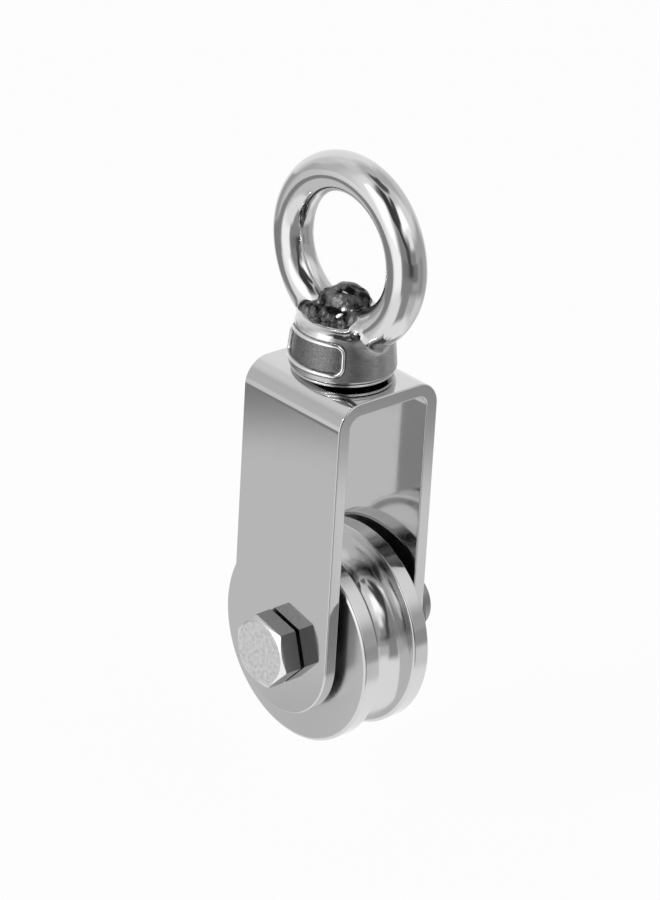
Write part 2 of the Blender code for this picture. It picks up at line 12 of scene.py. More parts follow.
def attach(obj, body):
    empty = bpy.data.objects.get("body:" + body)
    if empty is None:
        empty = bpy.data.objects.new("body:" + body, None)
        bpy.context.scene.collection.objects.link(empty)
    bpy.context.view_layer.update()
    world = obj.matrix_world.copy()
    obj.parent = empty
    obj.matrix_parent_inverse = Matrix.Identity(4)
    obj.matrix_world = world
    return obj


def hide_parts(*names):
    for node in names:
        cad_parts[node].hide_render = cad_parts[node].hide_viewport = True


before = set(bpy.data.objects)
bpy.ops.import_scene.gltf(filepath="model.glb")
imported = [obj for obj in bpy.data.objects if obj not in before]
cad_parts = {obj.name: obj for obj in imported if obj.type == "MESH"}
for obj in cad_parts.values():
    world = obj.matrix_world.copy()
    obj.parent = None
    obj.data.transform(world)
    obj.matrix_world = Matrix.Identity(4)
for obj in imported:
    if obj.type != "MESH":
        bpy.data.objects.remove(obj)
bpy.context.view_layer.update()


# Stage
# A white table in a pale studio. Polished steel shows the room more than itself, so the walls and
# the table are laid out as the metal mirrors them, while the camera sees plain white.
FLOOR_Z = -0.190
FLOOR_SIZE = 6.0
WALL_LEVEL = 0.76
TABLE_LEVEL = 1.0
TABLE_PAINT = 0.90  # the share of the light that its paint reflects
TABLE_GLOW = 0.94  # the share of the white that glows, and the rest takes the pulley's shadow


def add(tree, kind, given=None, out=0, **settings):
    """Adds a shader node with its settings, fills its inputs with values or links, and returns an output."""
    node = tree.nodes.new("ShaderNode" + kind)
    for name, value in settings.items():
        setattr(node, name, value)
    for name, value in (given or {}).items():
        if isinstance(value, bpy.types.NodeSocket):
            tree.links.new(value, node.inputs[name])
        else:
            node.inputs[name].default_value = value
    return node.outputs[out] if node.outputs else None


def linear(code):
    """The linear colour of an sRGB hex code."""
    shares = [int(code[i:i + 2], 16) / 255 for i in (1, 3, 5)]
    return (*[s / 12.92 if s <= 0.04045 else ((s + 0.055) / 1.055) ** 2.4 for s in shares], 1.0)


def lit_by_sectors(tree, spot, height, level, sectors):
    """Lays sectors of a room over a plain level of light. Each is a middle azimuth, a half width, its low
    and high ends, how soft its sides and its ends are, its own level and, where its sides lean, the
    degrees that they lean for one unit of height. Azimuth 0 is the near side and 90 the right edge."""
    apart = add(tree, "SeparateXYZ", {0: spot}).node.outputs
    near = add(tree, "Math", {0: apart["Y"], 1: -1.0}, operation="MULTIPLY")
    azimuth = add(tree, "Math", {0: apart["X"], 1: near}, operation="ARCTAN2")
    azimuth = add(tree, "Math", {0: azimuth}, operation="DEGREES")
    for middle, half, low, high, side_edge, end_edge, own_level, *lean in sectors:
        off = azimuth
        if lean:
            above = add(tree, "Math", {0: height, 1: (low + high) / 2}, operation="SUBTRACT")
            shift = add(tree, "Math", {0: above, 1: lean[0]}, operation="MULTIPLY")
            off = add(tree, "Math", {0: azimuth, 1: shift}, operation="SUBTRACT")
        off = add(tree, "Math", {0: off, 1: middle + 180.0, 2: middle - 180.0}, operation="WRAP")
        off = add(tree, "Math", {0: off, 1: middle}, operation="SUBTRACT")
        off = add(tree, "Math", {0: off}, operation="ABSOLUTE")
        mask = 1.0
        sides = ((off, half, side_edge, "To Min"), (height, high, end_edge, "To Min"),
                 (height, low, end_edge, "To Max"))
        for value, edge, soft, inside in sides:
            limits = {"Value": value, "From Min": edge - soft, "From Max": edge + soft,
                      "To Min": 0, "To Max": 0}
            mask = add(tree, "MapRange", {**limits, inside: mask}, interpolation_type="SMOOTHSTEP")
        level = add(tree, "Mix", {"Factor": mask, "A": level, "B": own_level}, data_type="FLOAT")
    return level


def alone(piece=None):
    """Deselects everything, apart from a piece that is worked on next."""
    bpy.ops.object.select_all(action="DESELECT")
    if piece:
        piece.select_set(True)
        bpy.context.view_layer.objects.active = piece


studio = bpy.data.worlds.new("pale studio")
bpy.context.scene.world = studio
studio.use_nodes = True
tree = studio.node_tree
tree.nodes.clear()
direction = add(tree, "TexCoord", out="Generated")
rise = add(tree, "SeparateXYZ", {0: direction}, out="Z")
elevation = add(tree, "Math", {0: add(tree, "Math", {0: rise}, operation="ARCSINE")}, operation="DEGREES")
# the walls, in degrees of azimuth and elevation: pale on the left with a soft box above, dimmer over
# that and high at the far side, shaded at the near corner, a tall bright screen at the near side,
# then the open dark side where the camera stands, with the right soft box over it and leaning
# black flags, and an unlit ceiling on that side
room = lit_by_sectors(tree, direction, elevation, WALL_LEVEL, (
    (-118, 31, -20, 50, 10, 8, 0.98),
    (-80, 16, 34, 62, 8, 8, 0.84),
    (-178, 24, 36, 82, 12, 10, 0.55),
    (-95, 75, 62, 90, 10, 6, 0.58),
    (-58, 14, -20, 13, 8, 5, 0.52),
    (-49, 8, 2, 37, 6, 5, 0.62),
    (-18, 12, -20, 58, 6, 6, 0.98),
    (0, 16, -20, 42, 6, 8, 1.48),
    (140, 34, -20, 17, 10, 6, 0.46),
    (132, 22, 24, 56, 10, 6, 0.93),
    (66, 41, -20, 22, 6, 6, 0.30),
    (88, 24, 28, 57, 8, 6, 1.48),
    (94, 12, 12, 33, 6, 4, 1.10),
    (70, 9, -20, 10, 5, 6, 0.08, -0.4),
    (53, 9, 8, 30, 6, 6, 0.05, -1.5),
    (8, 9, 44, 68, 6, 4, 0.20),
    (33, 17, 24, 68, 4, 6, 0.05, -0.4),
    (58, 13, 32, 68, 5, 4, 0.07, 0.5),
    (40, 100, 73, 120, 14, 3, 0.10),
    (0, 190, 84, 120, 1, 3, 0.10),
))
seen = add(tree, "LightPath", out="Is Camera Ray")
strength = add(tree, "Mix", {"Factor": seen, "A": room, "B": 1.0}, data_type="FLOAT")
light = add(tree, "Background", {"Color": linear("#FFFFFF"), "Strength": strength})
add(tree, "OutputWorld", {"Surface": light})

alone()
bpy.ops.mesh.primitive_plane_add(size=FLOOR_SIZE, location=(0, 0, FLOOR_Z))
floor = bpy.context.object
floor.name = "floor"
# plain white paint, which shows the camera nothing but the soft shadow
table = bpy.data.materials.new("white painted table")
table.use_nodes = True
tree = table.node_tree
tree.nodes.clear()
spot = add(tree, "TexCoord", out="Object")
reach = add(tree, "VectorMath", {0: spot}, out="Value", operation="LENGTH")
# the table, in degrees of azimuth and metres from under the pulley: grey on the near left, bright
# towards the near side's screen, and shaded further out and on the camera's side
shine = lit_by_sectors(tree, spot, reach, TABLE_LEVEL, (
    (180, 60, 0.14, 9.0, 14, 0.04, 0.66),
    (-150, 40, 0.42, 9.0, 14, 0.05, 0.95),
    (-130, 14, 0.12, 0.27, 8, 0.03, 0.45),
    (-59, 42, 0.03, 0.30, 8, 0.02, 0.70),
    (-57, 17, 0.30, 9.0, 8, 0.03, 0.72),
    (-33, 8, 0.28, 0.50, 5, 0.05, 0.38),
    (-30, 14, 0.03, 0.095, 8, 0.02, 0.61),
    (-62, 32, 0.275, 0.47, 9, 0.03, 0.28),
    (-78, 16, 0.47, 9.0, 8, 0.03, 0.44),
    (4, 22, 0.33, 9.0, 7, 0.06, 1.25),
    (140, 30, 0.11, 9.0, 8, 0.02, 0.80),
    (146, 42, 0.27, 9.0, 8, 0.05, 0.50),
    (126, 22, 0.27, 9.0, 10, 0.05, 0.36),
    (57, 22, 0.11, 9.0, 6, 0.02, 0.33),
    (98, 22, 0.13, 9.0, 8, 0.03, 0.60),
    (72, 46, 0.27, 9.0, 5, 0.05, 0.31),
    (102, 16, 0.32, 0.47, 8, 0.05, 0.46),
    (94, 12, 0.50, 9.0, 8, 0.05, 0.22),
    (64, 28, 0.55, 9.0, 10, 0.12, 0.23),
    (75, 12, 0.62, 9.0, 9, 0.14, 0.08),
))
paint = add(tree, "BsdfDiffuse", {"Color": (*[TABLE_PAINT] * 3, 1)})
white = add(tree, "MixShader", {0: TABLE_GLOW, 1: paint, 2: add(tree, "Emission")})
seen = add(tree, "LightPath", out="Is Camera Ray")
either = add(tree, "MixShader", {0: seen, 1: add(tree, "Emission", {"Strength": shine}), 2: white})
add(tree, "OutputMaterial", {"Surface": either})
floor.data.materials.append(table)

# Camera
# It stands above the near right corner and looks along a long lens, as in the photograph.
CAMERA_PLACE = Vector((0.822118, -0.758901, 0.463666))
CAMERA_AZIMUTH = math.radians(47.395)
CAMERA_ELEVATION = math.radians(25.815)
CAMERA_ROLL = math.radians(3.375)
CAMERA_LENS = 178.34
CAMERA_NEAR = 0.05

back = Vector((math.sin(CAMERA_AZIMUTH) * math.cos(CAMERA_ELEVATION),
               -math.cos(CAMERA_AZIMUTH) * math.cos(CAMERA_ELEVATION), math.sin(CAMERA_ELEVATION)))
level = Vector((math.cos(CAMERA_AZIMUTH), math.sin(CAMERA_AZIMUTH), 0))
upright = back.cross(level)
right = level * math.cos(CAMERA_ROLL) + upright * math.sin(CAMERA_ROLL)
up = upright * math.cos(CAMERA_ROLL) - level * math.sin(CAMERA_ROLL)
bpy.ops.object.camera_add()
camera = bpy.context.object
camera.matrix_world = Matrix.Translation(CAMERA_PLACE) @ Matrix((right, up, back)).transposed().to_4x4()
camera.data.lens = CAMERA_LENS
camera.data.clip_start = CAMERA_NEAR
bpy.context.scene.camera = camera
bpy.context.scene.view_settings.view_transform = "Standard"

# Lamp
# One small lamp above the near side draws the soft shadow on the table and the sharp glints on
# the weld. The camera doesn't see it.
LAMP_PLACE = (-0.15, -0.75, 0.42)
LAMP_AIM = Vector((0, 0, -0.03))
LAMP_SIZE = 0.10
LAMP_WATTS = 1.2

bpy.ops.object.light_add(type="AREA", location=LAMP_PLACE)
lamp = bpy.context.object
lamp.name = "glint lamp"
lamp.data.shape = "DISK"
lamp.data.size = LAMP_SIZE
lamp.data.energy = LAMP_WATTS
lamp.rotation_euler = (LAMP_AIM - lamp.location).to_track_quat("-Z", "Y").to_euler()
lamp.visible_camera = False


# Eye nut
# One stainless casting: a ring whose bar thickens into a tapered, threaded collar. It is ground
# and polished bright, apart from the sand-cast floor of an empty raised frame on its near side.
# its frame's rib carries a painted highlight with painted shade beside it, and the collar's wall is painted
# darker as shade
EYE_BAR = 0.0113
EYE_HOLE = 0.0335
EYE_FLARE = 0.10
EYE_FLARE_REACH = math.radians(75)
EYE_TURN = math.radians(2.1)
EYE_RADIUS = (EYE_HOLE + EYE_BAR) / 2
EYE_CENTRE_Z = -EYE_HOLE / 2
EYE_FLOOR_Z = -EYE_HOLE
TOP_Z = -0.05255
SEAT_GAP = 0.00025
COLLAR_FOOT_Z = -0.05055
COLLAR_FOOT_RADIUS = 0.0152
COLLAR_TOP_Z = COLLAR_FOOT_Z + 0.0150
COLLAR_DRAFT = math.radians(6)
COLLAR_TOP_ROUND = 0.0030
COLLAR_FOOT_ROUND = 0.0008
CAST_FILLET = 0.0034
STUD_RADIUS = 0.0080
COLLAR_CUTTER = 0.045
ALONG_Y = (math.pi / 2, 0, 0)
FRAME_MIDDLE_Z = -0.0437
FRAME_HALF_HEIGHT = 0.0043
FRAME_HALF_WIDTH = 0.0121
FRAME_CORNER = 0.0026
FRAME_RIB = 0.00066
FRAME_RISE = 0.00075
FRAME_FLOOR_DEPTH = 0.00018
FRAME_MARGIN = 0.0014
FRAME_CLEAR = 0.0004  # how far it keeps from the ring
FRAME_WALL = 0.0004  # over which its floor sinks
COLLAR_TOP_CLEAR = 0.001
EYE_GRAIN = 0.00042
SAND_DEPTH = 0.00012
SAND_ROUGHNESS = 0.42
BELT_DEPTH = 0.0000045
BELT_ROUGHNESS = 0.12  # added to the polish
CASTING_GREY = "#D8D8D8"
RIB_HIGHLIGHT_GREY = "#FAFAFA"
BELTED_SHADE_GREY = "#A6A6A6"
SAND_AND_SHADE_GREY = "#262626"
COLLAR_BRUSHED_LOW = -0.0500
COLLAR_BRUSHED_HIGH = -0.0394


def apply(piece, kind, **settings):
    """Adds a modifier to a piece and applies it."""
    step = piece.modifiers.new(kind.lower(), kind)
    for name, value in settings.items():
        setattr(step, name, value)
    alone(piece)
    bpy.ops.object.modifier_apply(modifier=step.name)


def cut(piece, tool, operation="DIFFERENCE"):
    """Cuts a piece with a tool, or joins or trims it, and throws the tool away."""
    apply(piece, "BOOLEAN", operation=operation, solver="EXACT", object=tool)
    bpy.data.objects.remove(tool, do_unlink=True)


def settle(piece, name):
    """Names a piece and puts its place into its mesh."""
    alone(piece)
    bpy.ops.object.transform_apply(location=True, rotation=True, scale=True)
    piece.name = name
    piece.data.name = name
    return piece


def rod(radius, length, location, vertices=96, rotation=(0, 0, 0)):
    """Adds a cylinder to cut or join with."""
    bpy.ops.mesh.primitive_cylinder_add(
        vertices=vertices, radius=radius, depth=length, location=location, rotation=rotation)
    return bpy.context.object


def ring_distance(spot):
    """Distance of each point from the ring's surface, with its thicker foot."""
    x, y, z = spot[:, 0], spot[:, 1], spot[:, 2] - EYE_CENTRE_Z
    out = np.maximum(np.hypot(x, z), 1e-9)
    from_bottom = np.arccos(np.clip(-z / out, -1, 1))
    share = np.clip(1 - from_bottom / EYE_FLARE_REACH, 0, 1)
    bar = EYE_BAR / 2 * (1 + EYE_FLARE * np.sin(share * math.pi / 2) ** 2)
    return np.hypot(out - EYE_RADIUS, y) - bar


def corner_distance(first, second, round_off):
    """Distance from two walls that meet in a rounded corner."""
    first, second = first + round_off, second + round_off
    outside = np.hypot(np.maximum(first, 0), np.maximum(second, 0))
    return outside + np.minimum(np.maximum(first, second), 0) - round_off


def eye_distance(spot):
    """Distance from the whole casting, with the fillet where the ring grows out of the collar."""
    side = ((np.hypot(spot[:, 0], spot[:, 1]) - COLLAR_FOOT_RADIUS) * math.cos(COLLAR_DRAFT)
            + (spot[:, 2] - COLLAR_FOOT_Z) * math.sin(COLLAR_DRAFT))
    top = corner_distance(side, spot[:, 2] - COLLAR_TOP_Z, COLLAR_TOP_ROUND)
    foot = corner_distance(side, COLLAR_FOOT_Z - spot[:, 2], COLLAR_FOOT_ROUND)
    collar = np.maximum(top, foot)
    ring = ring_distance(spot)
    near = np.maximum(CAST_FILLET - np.abs(ring - collar), 0) / CAST_FILLET
    return np.minimum(ring, collar) - near ** 3 * CAST_FILLET / 6


def slope_of(distance, spot):
    """The direction and rate in which a distance grows, at each point."""
    step = 0.00002
    return np.stack([(distance(spot + shift) - distance(spot - shift)) / (2 * step)
                     for shift in np.eye(3) * step], axis=1)


def read_places(mesh):
    """The places of a mesh's points, one row each."""
    spot = np.empty(len(mesh.vertices) * 3)
    mesh.vertices.foreach_get("co", spot)
    return spot.reshape(-1, 3)


alone()
bpy.ops.mesh.primitive_torus_add(
    major_segments=120, minor_segments=40, major_radius=EYE_RADIUS, minor_radius=EYE_BAR / 2,
    location=(0, 0, EYE_CENTRE_Z), rotation=ALONG_Y)
eye_nut = settle(bpy.context.object, "cast_eye_nut")
bpy.ops.mesh.primitive_cone_add(
    vertices=120, radius1=COLLAR_FOOT_RADIUS, depth=COLLAR_TOP_Z - COLLAR_FOOT_Z,
    radius2=COLLAR_FOOT_RADIUS - (COLLAR_TOP_Z - COLLAR_FOOT_Z) * math.tan(COLLAR_DRAFT),
    location=(0, 0, (COLLAR_FOOT_Z + COLLAR_TOP_Z) / 2))
cut(eye_nut, bpy.context.object, "UNION")
apply(eye_nut, "REMESH", mode="VOXEL", voxel_size=EYE_GRAIN)

# the remeshed skin is drawn onto the exact filleted form, or the polish would show its steps
spot = read_places(eye_nut.data)
for _ in range(5):
    slope = slope_of(eye_distance, spot)
    away = eye_distance(spot)
    spot = spot - slope * (away / np.maximum((slope ** 2).sum(axis=1), 0.05))[:, None]
eye_nut.data.vertices.foreach_set("co", spot.ravel())

# finer faces carry the raised frame
for face in eye_nut.data.polygons:
    middle = face.center
    face.select = (middle.y < -STUD_RADIUS and abs(middle.x) < FRAME_HALF_WIDTH + 0.0001
                   and abs(middle.z - FRAME_MIDDLE_Z) < FRAME_HALF_HEIGHT + FRAME_MARGIN)
for other in (*eye_nut.data.edges, *eye_nut.data.vertices):
    other.select = False
bpy.ops.object.mode_set(mode="EDIT")
bpy.ops.mesh.select_mode(type="FACE")
bpy.ops.mesh.subdivide(number_cuts=3)
bpy.ops.object.mode_set(mode="OBJECT")
spot = read_places(eye_nut.data)
slope = slope_of(eye_distance, spot)
slope = slope / np.linalg.norm(slope, axis=1)[:, None]
spot = spot - slope * eye_distance(spot)[:, None]


def frame_of(spot):
    """How far each point lies outside the raised frame's middle line, and whether it is on the wall there."""
    along = np.arctan2(spot[:, 0], -spot[:, 1]) * COLLAR_FOOT_RADIUS
    wide = np.abs(along) - FRAME_HALF_WIDTH + FRAME_CORNER
    tall = np.abs(spot[:, 2] - FRAME_MIDDLE_Z) - FRAME_HALF_HEIGHT + FRAME_CORNER
    line = (np.hypot(np.maximum(wide, 0), np.maximum(tall, 0)) + np.minimum(np.maximum(wide, tall), 0)
            - FRAME_CORNER)
    on_wall = (ring_distance(spot) > FRAME_CLEAR) & (spot[:, 1] < 0)
    return line, on_wall & (spot[:, 2] < COLLAR_TOP_Z - COLLAR_TOP_CLEAR)


outline, on_wall = frame_of(spot)
rib = np.clip(1 - (outline / FRAME_RIB) ** 2, 0, 1) ** 0.6
sunk = np.clip((-outline - FRAME_RIB * 0.6) / FRAME_WALL, 0, 1) * FRAME_FLOOR_DEPTH
spot = spot + slope * (on_wall * (rib * FRAME_RISE - sunk))[:, None]
eye_nut.data.vertices.foreach_set("co", spot.ravel())

alone()
cut(eye_nut, rod(STUD_RADIUS + SEAT_GAP, COLLAR_CUTTER, (0, 0, COLLAR_FOOT_Z)))

# the frame's floor and the corners beside its rib stay unpolished, because no wheel reaches them.
# Their colour is darkened too: beside the rib as painted shade, for the dark lines that its flanks
# mirror, and on the floor as a darker mottled tone
spot = read_places(eye_nut.data)
outline, on_wall = frame_of(spot)
floor_share = np.clip(-outline / 0.0005 - 0.8, 0, 1) * 0.62
rib_shade_share = np.exp(-((np.abs(outline) / FRAME_RIB - 1.12) / 0.26) ** 2) * 0.92
for name, share in (("polished_rib_highlight", np.exp(-(outline / FRAME_RIB / 0.85) ** 4)),
                    ("unpolished_and_shaded", np.maximum(floor_share, rib_shade_share))):
    marks = eye_nut.data.attributes.new(name, "FLOAT", "POINT")
    marks.data.foreach_set("value", (on_wall * share).astype(np.float32))

# the true slope of the form at each point, apart from the frame and the hole
slope = slope_of(eye_distance, spot)
slope = slope / np.maximum(np.linalg.norm(slope, axis=1), 1e-9)[:, None]
plain = (np.abs(eye_distance(spot)) < 0.00003) & ~(on_wall & (outline < FRAME_RIB + 0.0003))
swivel = np.array(Matrix.Rotation(EYE_TURN, 3, "Z"))
true_slope = slope * plain[:, None] @ swivel.T

bpy.ops.object.mode_set(mode="EDIT")
bpy.ops.mesh.select_all(action="SELECT")
bpy.ops.transform.rotate(value=-EYE_TURN, orient_axis="Z", center_override=(0, 0, 0))
bpy.ops.object.mode_set(mode="OBJECT")


def new_look(name):
    """A new material, its tree, its shader's inputs and the place that its patterns start from."""
    made = bpy.data.materials.new(name)
    made.use_nodes = True
    tree = made.node_tree
    return made, tree, tree.nodes["Principled BSDF"].inputs, add(tree, "TexCoord", out="Object")


def bright_steel(name, colour, roughness, spread, ripple, ripple_size, scratch, scratch_size,
                 stretch=(1, 1, 1)):
    """Polished stainless. A slow ripple left by grinding bends what it mirrors, fine scratches soften
    it, and patches near 6 mm across are polished less."""
    made, tree, shader, place = new_look(name)
    shader["Base Color"].default_value = linear(colour)
    shader["Metallic"].default_value = 1.0
    slow = add(tree, "TexNoise", {"Vector": place, "Scale": 1 / ripple_size, "Detail": 1.5, "Roughness": 0.4})
    first = add(tree, "Bump", {"Height": slow, "Distance": ripple})
    drawn = add(tree, "Mapping", {"Vector": place, "Scale": stretch})
    fine = add(tree, "TexNoise",
               {"Vector": drawn, "Scale": 1 / scratch_size, "Detail": 3.0, "Roughness": 0.6})
    second = add(tree, "Bump", {"Height": fine, "Distance": scratch, "Normal": first})
    tree.links.new(second, shader["Normal"])
    patches = add(tree, "TexNoise", {"Vector": place, "Scale": 1 / 0.006, "Detail": 4.0, "Roughness": 0.6})
    dull = add(tree, "MapRange", {"Value": patches, "From Min": 0.35, "From Max": 0.70,
                                  "To Min": roughness - spread, "To Max": roughness + spread})
    tree.links.new(dull, shader["Roughness"])
    return made


def dress(piece, material, angle=35, flats=True):
    """Gives a piece its material and smooth shading up to an angle. Where it has flats, large faces
    rule the shading at their corners, so that a flat reflects as a flat."""
    piece.data.materials.clear()
    piece.data.materials.append(material)
    alone(piece)
    bpy.ops.object.shade_smooth_by_angle(angle=math.radians(angle))
    if flats:
        apply(piece, "WEIGHTED_NORMAL", keep_sharp=True, weight=60)


# a casting polished by hand is a mirror that waves slightly, so what it shows bends and runs
casting_steel = bright_steel("mirror polished cast stainless", CASTING_GREY, 0.085, 0.03,
                             ripple=0.000040, ripple_size=0.0060, scratch=0.0000010, scratch_size=0.00035)
tree = casting_steel.node_tree
shader = tree.nodes["Principled BSDF"].inputs
place = add(tree, "TexCoord", out="Object")
height = add(tree, "SeparateXYZ", {0: place}, out="Z")
raw_and_shaded = add(tree, "Attribute", out="Fac", attribute_name="unpolished_and_shaded")
rib_share = add(tree, "Attribute", out="Fac", attribute_name="polished_rib_highlight")
# a belt has brushed the collar's wall round and round, but not the buffed rib. The rib's colour is
# painted lighter than steel, a painted highlight, and the wall is painted darker, painted shade
# that is deepest along its belt lines
brushed = add(tree, "Math", {0: 1.0, 1: rib_share}, operation="SUBTRACT")
for edge, soft, inside in ((COLLAR_BRUSHED_LOW, 0.0003, "To Max"), (COLLAR_BRUSHED_HIGH, 0.0012, "To Min")):
    limits = {"Value": height, "From Min": edge - soft, "From Max": edge + soft, "To Min": 0, "To Max": 0}
    brushed = add(tree, "MapRange", {**limits, inside: brushed}, interpolation_type="SMOOTHSTEP")
# sand grain is near 0.3 mm and the belt's lines near 0.05 mm, drawn here at 0.5 and 0.12 mm
grain = add(tree, "TexNoise", {"Vector": place, "Scale": 1 / 0.0005, "Detail": 3.0})
round_lines = add(tree, "Mapping", {"Vector": place, "Scale": (0.05, 0.05, 1.0)})
lines = add(tree, "TexNoise", {"Vector": round_lines, "Scale": 1 / 0.00012})
relief = 0.0
for pattern, share, depth in ((grain, raw_and_shaded, SAND_DEPTH), (lines, brushed, BELT_DEPTH)):
    layer = add(tree, "Math", {0: pattern, 1: share}, operation="MULTIPLY")
    relief = add(tree, "Math", {0: layer, 1: depth, 2: relief}, operation="MULTIPLY_ADD")
ground = shader["Normal"].links[0].from_socket
tree.links.new(add(tree, "Bump", {"Height": relief, "Distance": 1.0, "Normal": ground}), shader["Normal"])
polish = shader["Roughness"].links[0].from_socket
wall = add(tree, "Math", {0: brushed, 1: BELT_ROUGHNESS, 2: polish}, operation="MULTIPLY_ADD")
gloss = add(tree, "Mix", {"Factor": raw_and_shaded, "A": wall, "B": SAND_ROUGHNESS}, data_type="FLOAT")
tree.links.new(gloss, shader["Roughness"])
streak = add(tree, "MapRange",
             {"Value": lines, "From Min": 0.35, "From Max": 0.65, "To Min": 0.55, "To Max": 1.0})
grain_mottle = add(tree, "MapRange",
           {"Value": grain, "From Min": 0.3, "From Max": 0.7, "To Min": 1.12, "To Max": 0.72})
# the colour takes a painted highlight on the rib, painted shade on the collar's wall and beside the rib, and
# a darker mottled tone on the frame's floor
tone = linear(CASTING_GREY)
for share, pattern, colour in (
        (rib_share, 1.0, RIB_HIGHLIGHT_GREY), (brushed, streak, BELTED_SHADE_GREY), (raw_and_shaded, grain_mottle, SAND_AND_SHADE_GREY)):
    share = add(tree, "Math", {0: share, 1: pattern}, operation="MULTIPLY")
    tone = add(tree, "Mix", {"Factor": share, 6: tone, 7: linear(colour)}, out=2, data_type="RGBA")
tree.links.new(tone, shader["Base Color"])
dress(eye_nut, casting_steel, 45, flats=False)
corner_point = np.empty(len(eye_nut.data.loops), int)
eye_nut.data.loops.foreach_get("vertex_index", corner_point)
corner_slope = true_slope[corner_point]
face_slope = np.empty(len(eye_nut.data.polygons) * 3)
eye_nut.data.polygons.foreach_get("normal", face_slope)
face_size = np.empty(len(eye_nut.data.polygons), int)
eye_nut.data.polygons.foreach_get("loop_total", face_size)
agrees = (corner_slope * np.repeat(face_slope.reshape(-1, 3), face_size, axis=0)).sum(axis=1) > 0.8
eye_nut.data.normals_split_custom_set((corner_slope * agrees[:, None]).tolist())
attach(eye_nut, "eye")
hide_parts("eye_nut")


# Swivel stud
# A turned stainless stud. It carries the bracket by its low round head, screws up into the collar
# and is locked there by the weld.
STUD_HEAD_RADIUS = 0.0120
STUD_HEAD_HEIGHT = 0.0045
STUD_HEAD_ROUND = 0.0015
STUD_BREAK = 0.0004
BAR_THICKNESS = 0.0040
STUD_END_Z = EYE_FLOOR_Z + 0.0010
AXLE_Z = -0.13365


def arc(centre, radius, start, end, steps):
    """Points of an arc in a half section, its angles in degrees from the outward direction."""
    angles = [math.radians(start + (end - start) * i / steps) for i in range(steps + 1)]
    return [(centre[0] + radius * math.cos(a), centre[1] + radius * math.sin(a)) for a in angles]


def turned(name, section, steps, axis="Z", closed=True):
    """Draws a half section of (radius, along the axis) points, one by one, and spins it once round."""
    if axis == "Z":
        spots = [Vector((radius, 0, along)) for radius, along in section]
        centre, about = (0, 0, 0), (0, 0, 1)
    else:
        spots = [Vector((radius, along, AXLE_Z)) for radius, along in section]
        centre, about = (0, 0, AXLE_Z), (0, 1, 0)
    alone()
    bpy.ops.mesh.primitive_plane_add(size=0.001, location=spots[0])
    bpy.ops.object.mode_set(mode="EDIT")
    bpy.ops.mesh.select_mode(type="VERT")
    bpy.ops.mesh.merge(type="CENTER")
    for here, there in zip(spots, spots[1:] + (spots[:1] if closed else [])):
        bpy.ops.mesh.extrude_region_move(TRANSFORM_OT_translate={"value": there - here})
    bpy.ops.mesh.select_all(action="SELECT")
    bpy.ops.mesh.remove_doubles(threshold=0.000001)
    bpy.ops.mesh.spin(steps=steps, angle=math.tau, center=centre, axis=about)
    bpy.ops.mesh.select_all(action="SELECT")
    bpy.ops.mesh.remove_doubles(threshold=0.000001)
    bpy.ops.mesh.normals_make_consistent(inside=False)
    bpy.ops.object.mode_set(mode="OBJECT")
    return settle(bpy.context.object, name)


def soften(piece, width, segments=3, angle=38):
    """Breaks a piece's sharp edges and keeps its flats flat in the reflections."""
    apply(piece, "BEVEL", width=width, segments=segments, limit_method="ANGLE",
          angle_limit=math.radians(angle), use_clamp_overlap=True)


head_top = TOP_Z - BAR_THICKNESS - SEAT_GAP
head_low = head_top - STUD_HEAD_HEIGHT
swivel_stud = turned(
    "turned_swivel_stud",
    [(0, STUD_END_Z), (STUD_RADIUS, STUD_END_Z), (STUD_RADIUS, head_top), (STUD_HEAD_RADIUS, head_top)]
    + arc((STUD_HEAD_RADIUS - STUD_HEAD_ROUND, head_low + STUD_HEAD_ROUND), STUD_HEAD_ROUND, 0, -90, 8)
    + [(0, head_low)],
    96, closed=False)
soften(swivel_stud, STUD_BREAK)


def turned_steel(name, colour, roughness, marks, mark_size, axis="Y", ripple=0.0):
    """Lathe-cut stainless: fine rings round the axis, drawn as bump and as a change of gloss."""
    made, tree, shader, place = new_look(name)
    shader["Base Color"].default_value = linear(colour)
    shader["Metallic"].default_value = 1.0
    centre, level = ((0, 0, -AXLE_Z), (1, 0, 1)) if axis == "Y" else ((0, 0, 0), (1, 1, 0))
    moved = add(tree, "VectorMath", {0: place, 1: centre}, operation="ADD")
    flat = add(tree, "VectorMath", {0: moved, 1: level}, operation="MULTIPLY")
    radius = add(tree, "VectorMath", {0: flat}, out="Value", operation="LENGTH")
    polar = add(tree, "CombineXYZ", {"X": radius, "Y": add(tree, "SeparateXYZ", {0: moved}, out=axis)})
    cuts = add(tree, "TexNoise", {"Vector": polar, "Scale": 1 / mark_size, "Roughness": 0.7})
    groove = add(tree, "Bump", {"Height": cuts, "Distance": marks})
    handled = add(tree, "TexNoise", {"Vector": place, "Scale": 1 / 0.008, "Detail": 3.0, "Roughness": 0.55})
    wave = add(tree, "Bump", {"Height": handled, "Distance": ripple, "Normal": groove})
    tree.links.new(wave, shader["Normal"])
    gloss = add(tree, "MapRange", {"Value": handled, "From Min": 0.3, "From Max": 0.7,
                                   "To Min": roughness * 0.8, "To Max": roughness * 1.25})
    tree.links.new(gloss, shader["Roughness"])
    return made


# steel cut on a lathe has fine rings, which draw each highlight out into a line
stud_steel = turned_steel("turned stainless stud", "#CFCFCF", 0.22, 0.0000012, 0.00025, axis="Z")
dress(swivel_stud, stud_steel)
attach(swivel_stud, "eye")
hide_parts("swivel_stud")


# Swivel washer
# A thin dished stainless washer, on which the collar turns. Its rounded lip stands clear of the
# bracket, and the gap under it looks black.
WASHER_RADIUS = 0.0146
WASHER_THICKNESS = 0.0015
WASHER_LIP = 0.0008
WASHER_SEAT_RADIUS = 0.0100

